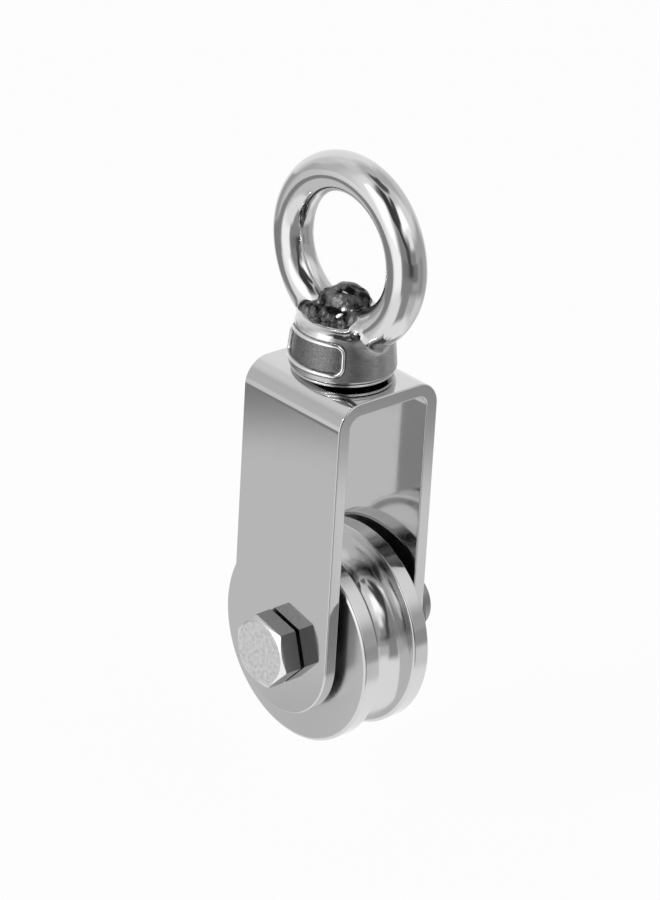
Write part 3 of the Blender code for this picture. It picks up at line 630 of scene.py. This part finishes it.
washer_foot = TOP_Z + SEAT_GAP
washer_top = washer_foot + WASHER_THICKNESS
swivel_washer = turned(
    "swivel_washer_ring",
    [(STUD_RADIUS + SEAT_GAP, washer_top)]
    + arc((WASHER_RADIUS - WASHER_LIP / 2, washer_top - WASHER_LIP / 2), WASHER_LIP / 2, 90, -90, 12)
    + [(WASHER_SEAT_RADIUS, washer_foot), (STUD_RADIUS + SEAT_GAP, washer_foot)],
    160)
# tumbling in stones leaves an even shine and no lines
washer_steel = bright_steel("tumbled stainless washer", "#D2D2D2", 0.12, 0.03,
                            ripple=0.000008, ripple_size=0.004, scratch=0.0000012, scratch_size=0.0003)
dress(swivel_washer, washer_steel, flats=False)
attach(swivel_washer, "eye")
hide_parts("swivel_washer")


# Stud weld
# Arc weld run over the stud's end where it comes through the ring's floor. It is left as laid:
# lumpy, blackened by its own heat, with small glassy beads of slag.
BEADS = (
    # centre, then the size across, along and up, in millimetres
    (0.0, 0.0, -34.6, 13.6, 13.8, 16.0),
    (2.4, 1.6, -31.6, 8.4, 8.0, 8.4),
    (-2.7, -2.0, -32.6, 8.6, 8.4, 8.8),
    (3.6, -4.1, -34.4, 6.6, 6.0, 5.6),
    (-1.4, -5.4, -34.6, 6.8, 5.4, 5.2),
    (-5.9, -4.8, -35.0, 6.0, 5.2, 4.8),
    (-9.2, -5.9, -35.9, 5.2, 4.8, 4.6),
    (-6.4, -7.0, -35.2, 5.6, 4.8, 4.2),
    (-3.4, -7.5, -34.7, 5.0, 4.8, 4.8),
    (-0.4, -7.1, -34.5, 5.2, 4.8, 5.2),
    (2.6, -6.0, -34.3, 4.8, 4.6, 5.4),
    (5.3, -4.9, -34.3, 4.8, 4.6, 5.2),
    (7.2, -3.2, -34.3, 4.6, 5.0, 5.0),
    (-7.4, -2.2, -34.2, 5.0, 5.0, 5.0),
    (7.2, 0.4, -34.3, 4.4, 5.6, 4.8),
    (0.6, 5.4, -34.6, 8.2, 6.4, 8.0),
    (-5.4, 3.8, -34.8, 6.2, 6.0, 6.0),
    (11.3, -6.4, -36.9, 3.2, 3.0, 2.2),
)
DROPS = (
    # centre, width and length in millimetres, and tilt in degrees
    (4.5, -4.8, -31.7, 1.5, 1.7, 20),
    (4.5, -6.5, -33.1, 1.1, 2.5, 35),
    (11.8, -6.8, -35.8, 1.0, 1.1, 0),
    (2.4, -2.8, -27.8, 0.35, 1.8, -12),
    (5.9, -3.3, -31.9, 0.7, 0.8, 0),
)
WELD_GRAIN = 0.00024
LUMP_SIZE = 0.0026
LUMP_HEIGHT = 0.0010
DROP_FALL = 0.02  # how far off each drop starts on its way to the crust
DROP_THICKNESS = 0.6
DROP_LEAN = math.radians(-25)
DROP_FACING = math.radians(-66)

stud_weld = None
for x, y, z, across, along, high in BEADS:
    alone()
    bpy.ops.mesh.primitive_ico_sphere_add(
        subdivisions=4, radius=0.5, location=(x / 1000, y / 1000, z / 1000),
        scale=(across / 1000, along / 1000, high / 1000))
    bead = settle(bpy.context.object, "bead")
    if stud_weld is None:
        stud_weld = bead
    else:
        cut(stud_weld, bead, "UNION")
apply(stud_weld, "REMESH", mode="VOXEL", voxel_size=WELD_GRAIN)
apply(stud_weld, "SMOOTH", factor=0.5, iterations=14)
lumps = bpy.data.textures.new("weld lumps", "CLOUDS")
lumps.noise_scale = LUMP_SIZE
lumps.noise_depth = 2
apply(stud_weld, "DISPLACE", texture=lumps, texture_coords="LOCAL", strength=LUMP_HEIGHT, mid_level=0.5)
settle(stud_weld, "lumpy_stud_weld")
weld_skin, tree, shader, place = new_look("heat-blackened weld")
shader["Metallic"].default_value = 0.85
# soot lies in patches near 3 mm across, dull where it is thick, over a crust of finer scale
soot = add(tree, "TexNoise", {"Vector": place, "Scale": 1 / 0.0034, "Detail": 3.0})
shade = add(tree, "ValToRGB", {"Fac": soot})
stops = shade.node.color_ramp.elements
stops[0].position, stops[0].color = 0.42, linear("#101010")
stops[1].position, stops[1].color = 0.62, linear("#7C7C7C")
tree.links.new(shade, shader["Base Color"])
gloss = add(tree, "MapRange",
            {"Value": soot, "From Min": 0.3, "From Max": 0.7, "To Min": 0.20, "To Max": 0.46})
tree.links.new(gloss, shader["Roughness"])
crust = add(tree, "TexNoise", {"Vector": place, "Scale": 1 / 0.0007, "Detail": 3.0})
rough = add(tree, "Bump", {"Height": crust, "Distance": 0.00007, "Strength": 0.7})
tree.links.new(rough, shader["Normal"])
dress(stud_weld, weld_skin, 60, flats=False)

# flat drops of clean weld metal that froze on the crust keep a satin skin. They sit where the
# weld glints and face the soft box, and their near-white colour, lighter than any steel, paints
# those glints brighter
glint_drop_metal = turned_steel("frozen weld drops with painted glints", "#F8F8F8", 0.30, 0.000001, 0.0003)
on_crust = [stud_weld.ray_cast(Vector(drop[:3]) / 1000 + back * DROP_FALL, -back)[1] for drop in DROPS]
for spot, (x, y, z, width, length, tilt) in zip(on_crust, DROPS):
    alone()
    bpy.ops.mesh.primitive_ico_sphere_add(
        subdivisions=4, radius=0.0005, location=spot, scale=(DROP_THICKNESS, length, width),
        rotation=(math.radians(tilt), DROP_LEAN, DROP_FACING))
    drop = settle(bpy.context.object, "drop")
    dress(drop, glint_drop_metal, flats=False)
    stud_weld.select_set(True)
    bpy.context.view_layer.objects.active = stud_weld
    bpy.ops.object.join()
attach(stud_weld, "eye")
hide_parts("stud_weld")


# Bracket
# Flat stainless bar, 40 by 4 mm, polished and folded to a U. Its ends are cut round about the
# axle, and its long edges are lightly broken.
BAR_WIDTH = 0.0400
PLATE_INNER_Y = 0.0141
PLATE_OUTER_Y = PLATE_INNER_Y + BAR_THICKNESS
BEND_RADIUS = 0.0035
BAR_EDGE_ROUND = 0.00045
AXLE_HOLE_RADIUS = 0.00625
BAR_SPARE = 0.006
BAR_CUTTER = 0.08
STUD_HOLE_CUTTER = 0.016
OUTLINE_HEIGHT = 0.1

fold_z = TOP_Z - BAR_THICKNESS - BEND_RADIUS
fold_y = PLATE_INNER_Y - BEND_RADIUS
# the bar is folded with some width and length to spare, and then cut to its outline
alone()
bpy.ops.mesh.primitive_plane_add(size=1, location=(0, -PLATE_INNER_Y - BAR_THICKNESS / 2, AXLE_Z - BAR_WIDTH))
bpy.ops.object.mode_set(mode="EDIT")
bpy.ops.transform.resize(value=(BAR_WIDTH + BAR_SPARE, BAR_THICKNESS, 1))
bpy.ops.mesh.extrude_region_move(TRANSFORM_OT_translate={"value": (0, 0, fold_z - AXLE_Z + BAR_WIDTH)})
bpy.ops.mesh.spin(steps=20, angle=math.pi / 2, center=(0, -fold_y, fold_z), axis=(1, 0, 0))
bpy.ops.mesh.extrude_region_move(TRANSFORM_OT_translate={"value": (0, 2 * fold_y, 0)})
bpy.ops.mesh.spin(steps=20, angle=math.pi / 2, center=(0, fold_y, fold_z), axis=(1, 0, 0))
bpy.ops.mesh.extrude_region_move(TRANSFORM_OT_translate={"value": (0, 0, AXLE_Z - BAR_WIDTH - fold_z)})
bpy.ops.mesh.select_all(action="SELECT")
bpy.ops.mesh.remove_doubles(threshold=0.000001)
bpy.ops.mesh.normals_make_consistent(inside=False)
bpy.ops.object.mode_set(mode="OBJECT")
bracket = settle(bpy.context.object, "folded_bracket")
outline = settle(rod(BAR_WIDTH / 2, BAR_CUTTER, (0, 0, AXLE_Z), 162, ALONG_Y), "outline")
# its upper half is drawn up straight, to clear the top of the fold
for corner in outline.data.vertices:
    if corner.co.z > AXLE_Z - 0.00001:
        corner.co.z += OUTLINE_HEIGHT
        corner.co.x = math.copysign(BAR_WIDTH / 2, corner.co.x) if abs(corner.co.x) > 0.00001 else 0
cut(bracket, outline, "INTERSECT")
cut(bracket, rod(AXLE_HOLE_RADIUS, BAR_CUTTER, (0, 0, AXLE_Z), rotation=ALONG_Y))
cut(bracket, rod(STUD_RADIUS + SEAT_GAP, STUD_HOLE_CUTTER, (0, 0, TOP_Z)))
soften(bracket, BAR_EDGE_ROUND)
# rolled bar polished along its length is a flat mirror, just softened
bar_steel = bright_steel("polished stainless flat bar", "#D4D4D4", 0.075, 0.02,
                         ripple=0.000004, ripple_size=0.012, scratch=0.0000007, scratch_size=0.0004,
                         stretch=(1, 1, 0.04))
dress(bracket, bar_steel)
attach(bracket, "bracket")
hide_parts("bracket")


# Sheave
# A wheel turned from stainless round bar: two broad rims, a half-round rope groove with a finer
# finish, and a stepped bore with a groove for the circlip.
SHEAVE_RADIUS = 0.0300
SHEAVE_HALF_WIDTH = 0.0120
RIM_LAND = 0.0056
RIM_ROUND = 0.0005
RIM_BREAK = 0.0005
RIM_LEAN = 65
GROOVE_FLOOR = 0.0220
GROOVE_RADIUS = SHEAVE_HALF_WIDTH - RIM_LAND
SHEAVE_BORE = 0.01625
BORE_CHAMFER = 0.0005
BEARING_SHOULDER = 0.0020
BEARING_HALF = 0.0050
CIRCLIP_THICKNESS = 0.0012
CIRCLIP_GROOVE = 0.0010
FACED_ROUGHNESS = 0.27
FACED_SLACK = 0.00003

clip_low = -BEARING_HALF - CIRCLIP_THICKNESS - 2 * SEAT_GAP
clip_radius = SHEAVE_BORE + CIRCLIP_GROOVE
seat_end = BEARING_HALF + SEAT_GAP
shoulder = SHEAVE_BORE - BEARING_SHOULDER
# each rim's edges are broken with a narrow flat, which leans towards the wheel's sides
lower = RIM_BREAK * math.sin(math.radians(RIM_LEAN))
inwards = RIM_BREAK * math.cos(math.radians(RIM_LEAN))
rim = SHEAVE_RADIUS - RIM_ROUND
side_y = SHEAVE_HALF_WIDTH - RIM_ROUND
lip_y = GROOVE_RADIUS + RIM_ROUND
near_half = (
    arc((rim - lower, side_y), RIM_ROUND, 90, RIM_LEAN, 3)
    + arc((rim, side_y - inwards), RIM_ROUND, RIM_LEAN, 0, 5)
    + arc((rim, lip_y + inwards), RIM_ROUND, 0, -RIM_LEAN, 5)
    + arc((rim - lower, lip_y), RIM_ROUND, -RIM_LEAN, -90, 3)
)
sheave = turned(
    "turned_sheave",
    near_half + arc((GROOVE_FLOOR + GROOVE_RADIUS, 0), GROOVE_RADIUS, 90, 270, 40)[1:-1]
    + [(radius, -along) for radius, along in reversed(near_half)]
    + [(SHEAVE_BORE + BORE_CHAMFER, -SHEAVE_HALF_WIDTH), (SHEAVE_BORE, BORE_CHAMFER - SHEAVE_HALF_WIDTH)]
    + [(SHEAVE_BORE, clip_low), (clip_radius, clip_low), (clip_radius, -BEARING_HALF)]
    + [(SHEAVE_BORE, -BEARING_HALF), (SHEAVE_BORE, seat_end), (shoulder, seat_end)]
    + [(shoulder, SHEAVE_HALF_WIDTH - BORE_CHAMFER), (shoulder + BORE_CHAMFER, SHEAVE_HALF_WIDTH)],
    240, axis="Y")
# a fine cut, then polish: the rims and the groove mirror, drawn out round the axle
sheave_steel = turned_steel("turned stainless sheave", "#D4D4D4", 0.13, 0.0000022, 0.00045, ripple=0.00001)
# its two side faces were left from the lathe and are duller than the rims and the groove
tree = sheave_steel.node_tree
roughness = tree.nodes["Principled BSDF"].inputs["Roughness"]
across = add(tree, "SeparateXYZ", {0: add(tree, "TexCoord", out="Object")}, out="Y")
across = add(tree, "Math", {0: across}, operation="ABSOLUTE")
faced = add(tree, "Math", {0: across, 1: SHEAVE_HALF_WIDTH - FACED_SLACK}, operation="GREATER_THAN")
polish = roughness.links[0].from_socket
gloss = add(tree, "Mix", {"Factor": faced, "A": polish, "B": FACED_ROUGHNESS}, data_type="FLOAT")
tree.links.new(gloss, roughness)
dress(sheave, sheave_steel)
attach(sheave, "sheave")
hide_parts("sheave")


# Axle bolt
# A stainless hexagon bolt, hot forged and then turned, pushed through both plates and held by the
# lock nut. Its thread shows past the nut.
HEX_HALF = 0.0095
HEX_CORNER = HEX_HALF / math.cos(math.pi / 6)
HEX_TURN = math.radians(47.3)
HEAD_HEIGHT = 0.0068
WASHER_FACE = 0.00045
WASHER_FACE_RADIUS = 0.0078
AXLE_RADIUS = 0.0060
NUT_WASHER_THICKNESS = 0.0020
NUT_HEIGHT = 0.0090
NUT_COLLAR_HEIGHT = 0.0030
BOLT_END = PLATE_OUTER_Y + NUT_WASHER_THICKNESS + NUT_HEIGHT + NUT_COLLAR_HEIGHT + 3 * SEAT_GAP + 0.0025
THREAD_PITCH = 0.00175
THREAD_DEPTH = 0.00095
THREAD_START = 0.0160
THREAD_RUN_IN = 0.0020
THREAD_STEPS = 150
THREAD_FLANK = 1.35
THREAD_CREST = 0.12
END_CHAMFER = 0.0014
CHAMFER_START = 0.95  # the share of the hexagon's half width
CHAMFER_REACH = 0.0004
CHAMFER_DEPTH = 0.0010
CUTTER_LENGTH = 0.12
HEAD_SLACK = 0.00002
MILLED_ROUGHNESS = 0.36
MILLED_SHADE_GREY = "#9C9C9C"
FACE_HIGHLIGHT_GREY = "#EEEEEE"
PEBBLE_GREY = "#8E8E8E"


def hexagon(length):
    """A hexagon prism about the axle, turned as the bolt's head is in the photograph."""
    alone()
    prism = settle(rod(HEX_CORNER, length, (0, 0, AXLE_Z), 6, (-math.pi / 2, 0, 0)), "hexagon")
    bpy.ops.object.mode_set(mode="EDIT")
    bpy.ops.mesh.select_all(action="SELECT")
    bpy.ops.transform.rotate(value=HEX_TURN - math.pi / 2, orient_axis="Y", center_override=(0, 0, AXLE_Z))
    bpy.ops.object.mode_set(mode="OBJECT")
    return prism


def chamfered(level, outward):
    """Where the chamfer cone of a hexagon leaves its flat end and where it meets the corners."""
    flat, corner = HEX_HALF * CHAMFER_START, HEX_CORNER + CHAMFER_REACH
    return [(flat, level), (corner, level - outward * (corner - flat) * math.tan(math.pi / 6))]


bearing_level = -PLATE_OUTER_Y - SEAT_GAP
head_level = bearing_level - HEAD_HEIGHT
threaded = BOLT_END - THREAD_START
shank = [(AXLE_RADIUS, BOLT_END - threaded * i / THREAD_STEPS) for i in range(THREAD_STEPS + 1)]
axle_bolt = turned(
    "hexagon_axle_bolt",
    [(0, BOLT_END)] + shank + [(AXLE_RADIUS, bearing_level), (WASHER_FACE_RADIUS, bearing_level)]
    + [(WASHER_FACE_RADIUS, bearing_level - WASHER_FACE)]
    + [(HEX_CORNER + CHAMFER_REACH, bearing_level - WASHER_FACE)]
    + chamfered(head_level, -1)[::-1] + [(0, head_level)],
    96, axis="Y", closed=False)
# the shank's thread is pressed into it as a spiral, with a chamfer at its end
spot = read_places(axle_bolt.data)
out = np.hypot(spot[:, 0], spot[:, 2] - AXLE_Z)
around = np.arctan2(spot[:, 0], spot[:, 2] - AXLE_Z) / math.tau
phase = (spot[:, 1] / THREAD_PITCH - around) % 1
flank = np.clip(np.abs(phase - 0.5) * 2 * THREAD_FLANK - THREAD_CREST, 0, 1)
fade = np.clip((spot[:, 1] - THREAD_START) / THREAD_RUN_IN, 0, 1)
target = AXLE_RADIUS - THREAD_DEPTH * flank * fade
target = np.minimum(target, AXLE_RADIUS - END_CHAMFER + (BOLT_END - spot[:, 1]))
share = np.where((spot[:, 1] > THREAD_START) & (out > 0.001), target / np.maximum(out, 1e-6), 1)
spot[:, 0] *= share
spot[:, 2] = AXLE_Z + (spot[:, 2] - AXLE_Z) * share
axle_bolt.data.vertices.foreach_set("co", spot.ravel())
cut(axle_bolt, hexagon(CUTTER_LENGTH), "INTERSECT")
bolt_steel = bright_steel("bright stainless bolt", "#CDCDCD", 0.17, 0.05,
                          ripple=0.000012, ripple_size=0.0022, scratch=0.0000016, scratch_size=0.00030)
# the forged face keeps a pebbled skin, near 0.4 mm across and drawn at 1.2 mm, and the milled
# flats are rougher than the rest. The face and the turned chamfer round it are painted much lighter,
# a painted highlight, and everything else, the flats, the shank and the whole nut, is painted
# darker as shade
tree = bolt_steel.node_tree
shader = tree.nodes["Principled BSDF"].inputs
place = add(tree, "TexCoord", out="Object")
along = add(tree, "SeparateXYZ", {0: place}, out="Y")
face = add(tree, "Math", {0: along, 1: head_level + HEAD_SLACK}, operation="LESS_THAN")
bright = add(tree, "Math", {0: along, 1: head_level + CHAMFER_DEPTH}, operation="LESS_THAN")
milled = add(tree, "Math", {0: 1.0, 1: bright}, operation="SUBTRACT")
not_turned = add(tree, "Math", {0: face, 1: milled}, operation="MAXIMUM")
worn = add(tree, "MapRange", {"Value": face, "To Min": 0.00007, "To Max": 0.00022})
pebbles = add(tree, "TexNoise", {"Vector": place, "Scale": 1 / 0.0012, "Detail": 4.0, "Roughness": 0.6})
relief = add(tree, "Math", {0: pebbles, 1: worn}, operation="MULTIPLY")
ground = shader["Normal"].links[0].from_socket
tree.links.new(add(tree, "Bump", {"Height": relief, "Distance": 1.0, "Normal": ground}), shader["Normal"])
spots = add(tree, "MapRange",
            {"Value": pebbles, "From Min": 0.40, "From Max": 0.62, "To Min": 0.0, "To Max": 0.30})
spots = add(tree, "Math", {0: spots, 1: not_turned}, operation="MULTIPLY")
tone = linear(MILLED_SHADE_GREY)
for share, colour in ((bright, FACE_HIGHLIGHT_GREY), (spots, PEBBLE_GREY)):
    tone = add(tree, "Mix", {"Factor": share, 6: tone, 7: linear(colour)}, out=2, data_type="RGBA")
tree.links.new(tone, shader["Base Color"])
polish = shader["Roughness"].links[0].from_socket
gloss = add(tree, "Mix", {"Factor": milled, "A": polish, "B": MILLED_ROUGHNESS}, data_type="FLOAT")
tree.links.new(gloss, shader["Roughness"])
dress(axle_bolt, bolt_steel, 28)
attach(axle_bolt, "bracket")
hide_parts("axle_bolt")


# Lock nut and its washer
# A stainless hexagon nut whose round collar is rolled in over a white nylon ring, tightened on a
# plain washer so that the plates stay as far apart as the spacers hold them.
NUT_COLLAR_RADIUS = 0.0086
NUT_LIP = 0.0007
NUT_FILLET = 0.0004
NUT_BREAK = 0.0003
INSERT_RADIUS = 0.0075
INSERT_THICKNESS = 0.0020
NUT_WASHER_RADIUS = 0.0120

nut_low = PLATE_OUTER_Y + NUT_WASHER_THICKNESS + 2 * SEAT_GAP
nut_shoulder = nut_low + NUT_HEIGHT
nut_top = nut_shoulder + NUT_COLLAR_HEIGHT
pocket = INSERT_RADIUS + SEAT_GAP
pocket_top = nut_top - NUT_LIP
pocket_floor = pocket_top - INSERT_THICKNESS - 2 * SEAT_GAP
mouth = (pocket + AXLE_HOLE_RADIUS) / 2
axle_nut = turned(
    "hexagon_lock_nut",
    arc((NUT_COLLAR_RADIUS - NUT_LIP, nut_top - NUT_LIP), NUT_LIP, 90, 0, 6)
    + arc((NUT_COLLAR_RADIUS + NUT_FILLET, nut_shoulder + NUT_FILLET), NUT_FILLET, 180, 270, 4)
    + chamfered(nut_shoulder, 1) + chamfered(nut_low, -1)[::-1]
    + [(AXLE_HOLE_RADIUS, nut_low), (AXLE_HOLE_RADIUS, pocket_floor), (pocket, pocket_floor)]
    + [(pocket, pocket_top), (mouth, pocket_top), (mouth, nut_top)],
    144, axis="Y")
cut(axle_nut, hexagon(CUTTER_LENGTH), "INTERSECT")
# it wears the bolt's steel, so all of it takes the darker painted shade of the flats
dress(axle_nut, bolt_steel, 28)
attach(axle_nut, "bracket")
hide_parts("axle_nut")

insert_high = pocket_top - SEAT_GAP
insert_low = insert_high - INSERT_THICKNESS


def band(inner, outer, first, last):
    """The half section of a plain ring."""
    return [(inner, first), (outer, first), (outer, last), (inner, last)]


nut_insert = turned(
    "nylon_nut_insert", band(AXLE_HOLE_RADIUS, INSERT_RADIUS, insert_high, insert_low), 96, axis="Y")
soften(nut_insert, NUT_BREAK)
# moulded nylon is milky, with an even satin skin
nylon, tree, shader, place = new_look("moulded white nylon")
shader["Base Color"].default_value = linear("#E4E2DA")
shader["IOR"].default_value = 1.53
cloud = add(tree, "TexNoise", {"Vector": place, "Scale": 1 / 0.0009, "Detail": 3.0})
skin = add(tree, "Bump", {"Height": cloud, "Distance": 0.00002})
tree.links.new(skin, shader["Normal"])
tree.links.new(add(tree, "MapRange", {"Value": cloud, "To Min": 0.36, "To Max": 0.52}), shader["Roughness"])
dress(nut_insert, nylon, flats=False)
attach(nut_insert, "bracket")
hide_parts("axle_nut_insert")

washer_low = PLATE_OUTER_Y + SEAT_GAP
washer_high = washer_low + NUT_WASHER_THICKNESS
nut_washer = turned(
    "plain_nut_washer", band(AXLE_HOLE_RADIUS, NUT_WASHER_RADIUS, washer_low, washer_high), 128, axis="Y")
soften(nut_washer, NUT_BREAK)
dress(nut_washer, washer_steel)
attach(nut_washer, "bracket")
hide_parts("axle_nut_washer")


# Spacers
# Two turned stainless tubes, slid on the axle. Between the plates they clamp the bearing's inner
# ring, which keeps the sheave in the middle of the bracket.
SPACER_RADIUS = 0.0085
SPACER_BREAK = 0.0004

# turned and left from the lathe, so it is duller than the wheel
spacer_steel = turned_steel("turned stainless tube", "#CBCBCB", 0.24, 0.0000018, 0.00035)
for side, node in ((-1, "spacer_near"), (1, "spacer_far")):
    close = side * (BEARING_HALF + SEAT_GAP)
    outer = side * (PLATE_INNER_Y - SEAT_GAP)
    spacer = turned("turned_" + node, band(AXLE_HOLE_RADIUS, SPACER_RADIUS, close, outer), 96, axis="Y")
    soften(spacer, SPACER_BREAK)
    dress(spacer, spacer_steel)
    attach(spacer, "bracket")
    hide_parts(node)


# Ball bearing
# A shielded deep-groove bearing: two ground rings, seven balls in a pressed ribbon cage, and a
# dust shield on each side. A circlip keeps it in the sheave.
BEARING_RADIUS = 0.0160
BALL_RADIUS = 0.0030
BALL_COUNT = 7
PITCH_RADIUS = 0.0110
TRACK_RADIUS = BALL_RADIUS + 0.0002
RACE_DEPTH = 0.0011
RING_ROUND = 0.0004
INNER_LAND = PITCH_RADIUS - TRACK_RADIUS + RACE_DEPTH
OUTER_LAND = PITCH_RADIUS + TRACK_RADIUS - RACE_DEPTH
SHIELD_SEAT_RADIUS = OUTER_LAND + 0.0008
SHIELD_THICKNESS = 0.0004
SHIELD_INSET = 0.0003
SHIELD_BREAK = 0.0001
CIRCLIP_WIDTH = 0.0022
CIRCLIP_MOUTH = math.radians(42)
LUG_RADIUS = 0.0017
LUG_HOLE = 0.0008
CIRCLIP_CUTTER = 0.004

spread = math.degrees(math.acos((TRACK_RADIUS - RACE_DEPTH) / TRACK_RADIUS))
seat = BEARING_HALF - SHIELD_INSET - SHIELD_THICKNESS - SEAT_GAP
# ground rings are nearly mirrors
bearing_steel = turned_steel("ground bearing steel", "#CACCCF", 0.10, 0.0000006, 0.0003)
outer_ring = turned(
    "ground_outer_ring",
    arc((BEARING_RADIUS - RING_ROUND, BEARING_HALF - RING_ROUND), RING_ROUND, 90, 0, 5)
    + arc((BEARING_RADIUS - RING_ROUND, RING_ROUND - BEARING_HALF), RING_ROUND, 0, -90, 5)
    + [(SHIELD_SEAT_RADIUS, -BEARING_HALF), (SHIELD_SEAT_RADIUS, -seat), (OUTER_LAND, -seat)]
    + arc((PITCH_RADIUS, 0), TRACK_RADIUS, -spread, spread, 14)
    + [(OUTER_LAND, seat), (SHIELD_SEAT_RADIUS, seat), (SHIELD_SEAT_RADIUS, BEARING_HALF)],
    160, axis="Y")
inner_ring = turned(
    "ground_inner_ring",
    arc((INNER_LAND - RING_ROUND, BEARING_HALF - RING_ROUND), RING_ROUND, 90, 0, 4)
    + arc((PITCH_RADIUS, 0), TRACK_RADIUS, 180 - spread, 180 + spread, 14)
    + arc((INNER_LAND - RING_ROUND, RING_ROUND - BEARING_HALF), RING_ROUND, 0, -90, 4)
    + [(AXLE_HOLE_RADIUS, -BEARING_HALF), (AXLE_HOLE_RADIUS, BEARING_HALF)],
    128, axis="Y")
for ring, body, node in ((outer_ring, "sheave", "bearing_outer_ring"),
                         (inner_ring, "bracket", "bearing_inner_ring")):
    dress(ring, bearing_steel)
    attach(ring, body)
    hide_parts(node)

# lapping leaves no mark that the eye can see
ball_steel = bright_steel("lapped bearing ball", "#D2D3D6", 0.06, 0.02,
                          ripple=0.000001, ripple_size=0.002, scratch=0.0000003, scratch_size=0.0003)
for number in range(BALL_COUNT):
    angle = math.tau * number / BALL_COUNT
    alone()
    bpy.ops.mesh.primitive_ico_sphere_add(
        subdivisions=5, radius=BALL_RADIUS,
        location=(-PITCH_RADIUS * math.sin(angle), 0, AXLE_Z - PITCH_RADIUS * math.cos(angle)))
    ball = settle(bpy.context.object, f"lapped_ball_{number + 1}")
    dress(ball, ball_steel, flats=False)
    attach(ball, "ball_cage")
    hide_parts(f"bearing_ball_{number + 1}")

# the ribbon cage keeps its solid, with the dull skin of pressed strip
pressed_steel = bright_steel("pressed stainless strip", "#C4C5C7", 0.26, 0.05,
                             ripple=0.000006, ripple_size=0.003, scratch=0.0000020, scratch_size=0.0003)
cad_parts["bearing_cage"].material_slots[0].material = pressed_steel

shield_outer = SHIELD_SEAT_RADIUS - SEAT_GAP
shield_inner = INNER_LAND + SEAT_GAP
for side, node in ((-1, "bearing_shield_near"), (1, "bearing_shield_far")):
    face = side * (BEARING_HALF - SHIELD_INSET)
    rear = side * (BEARING_HALF - SHIELD_INSET - SHIELD_THICKNESS)
    shield = turned("pressed_" + node, band(shield_inner, shield_outer, face, rear), 160, axis="Y")
    soften(shield, SHIELD_BREAK, segments=2)
    dress(shield, pressed_steel)
    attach(shield, "sheave")
    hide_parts(node)

clip_outer = SHEAVE_BORE + CIRCLIP_GROOVE - SEAT_GAP
clip_inner = clip_outer - CIRCLIP_WIDTH
clip_high = -BEARING_HALF - SEAT_GAP
clip_middle = clip_high - CIRCLIP_THICKNESS / 2
circlip = turned(
    "sprung_circlip",
    [(clip_outer, clip_high), (clip_outer, clip_high - CIRCLIP_THICKNESS)]
    + [(clip_inner, clip_high - CIRCLIP_THICKNESS), (clip_inner, clip_high)],
    160, axis="Y")
mouth_width = 2 * clip_outer * math.sin(CIRCLIP_MOUTH / 2)
alone()
bpy.ops.mesh.primitive_cube_add(
    size=1, location=(0, clip_middle, AXLE_Z - clip_outer),
    scale=(mouth_width, CIRCLIP_CUTTER, 2 * clip_outer))
cut(circlip, settle(bpy.context.object, "mouth"))
for side in (-1, 1):
    angle = side * CIRCLIP_MOUTH / 2
    lug = (-clip_inner * math.sin(angle), clip_middle, AXLE_Z - clip_inner * math.cos(angle))
    for radius, depth, work in ((LUG_RADIUS, CIRCLIP_THICKNESS, "UNION"),
                                (LUG_HOLE, CIRCLIP_CUTTER, "DIFFERENCE")):
        alone()
        cut(circlip, settle(rod(radius, depth, lug, 40, ALONG_Y), "lug"), work)
dress(circlip, pressed_steel)
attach(circlip, "sheave")
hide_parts("bearing_circlip")
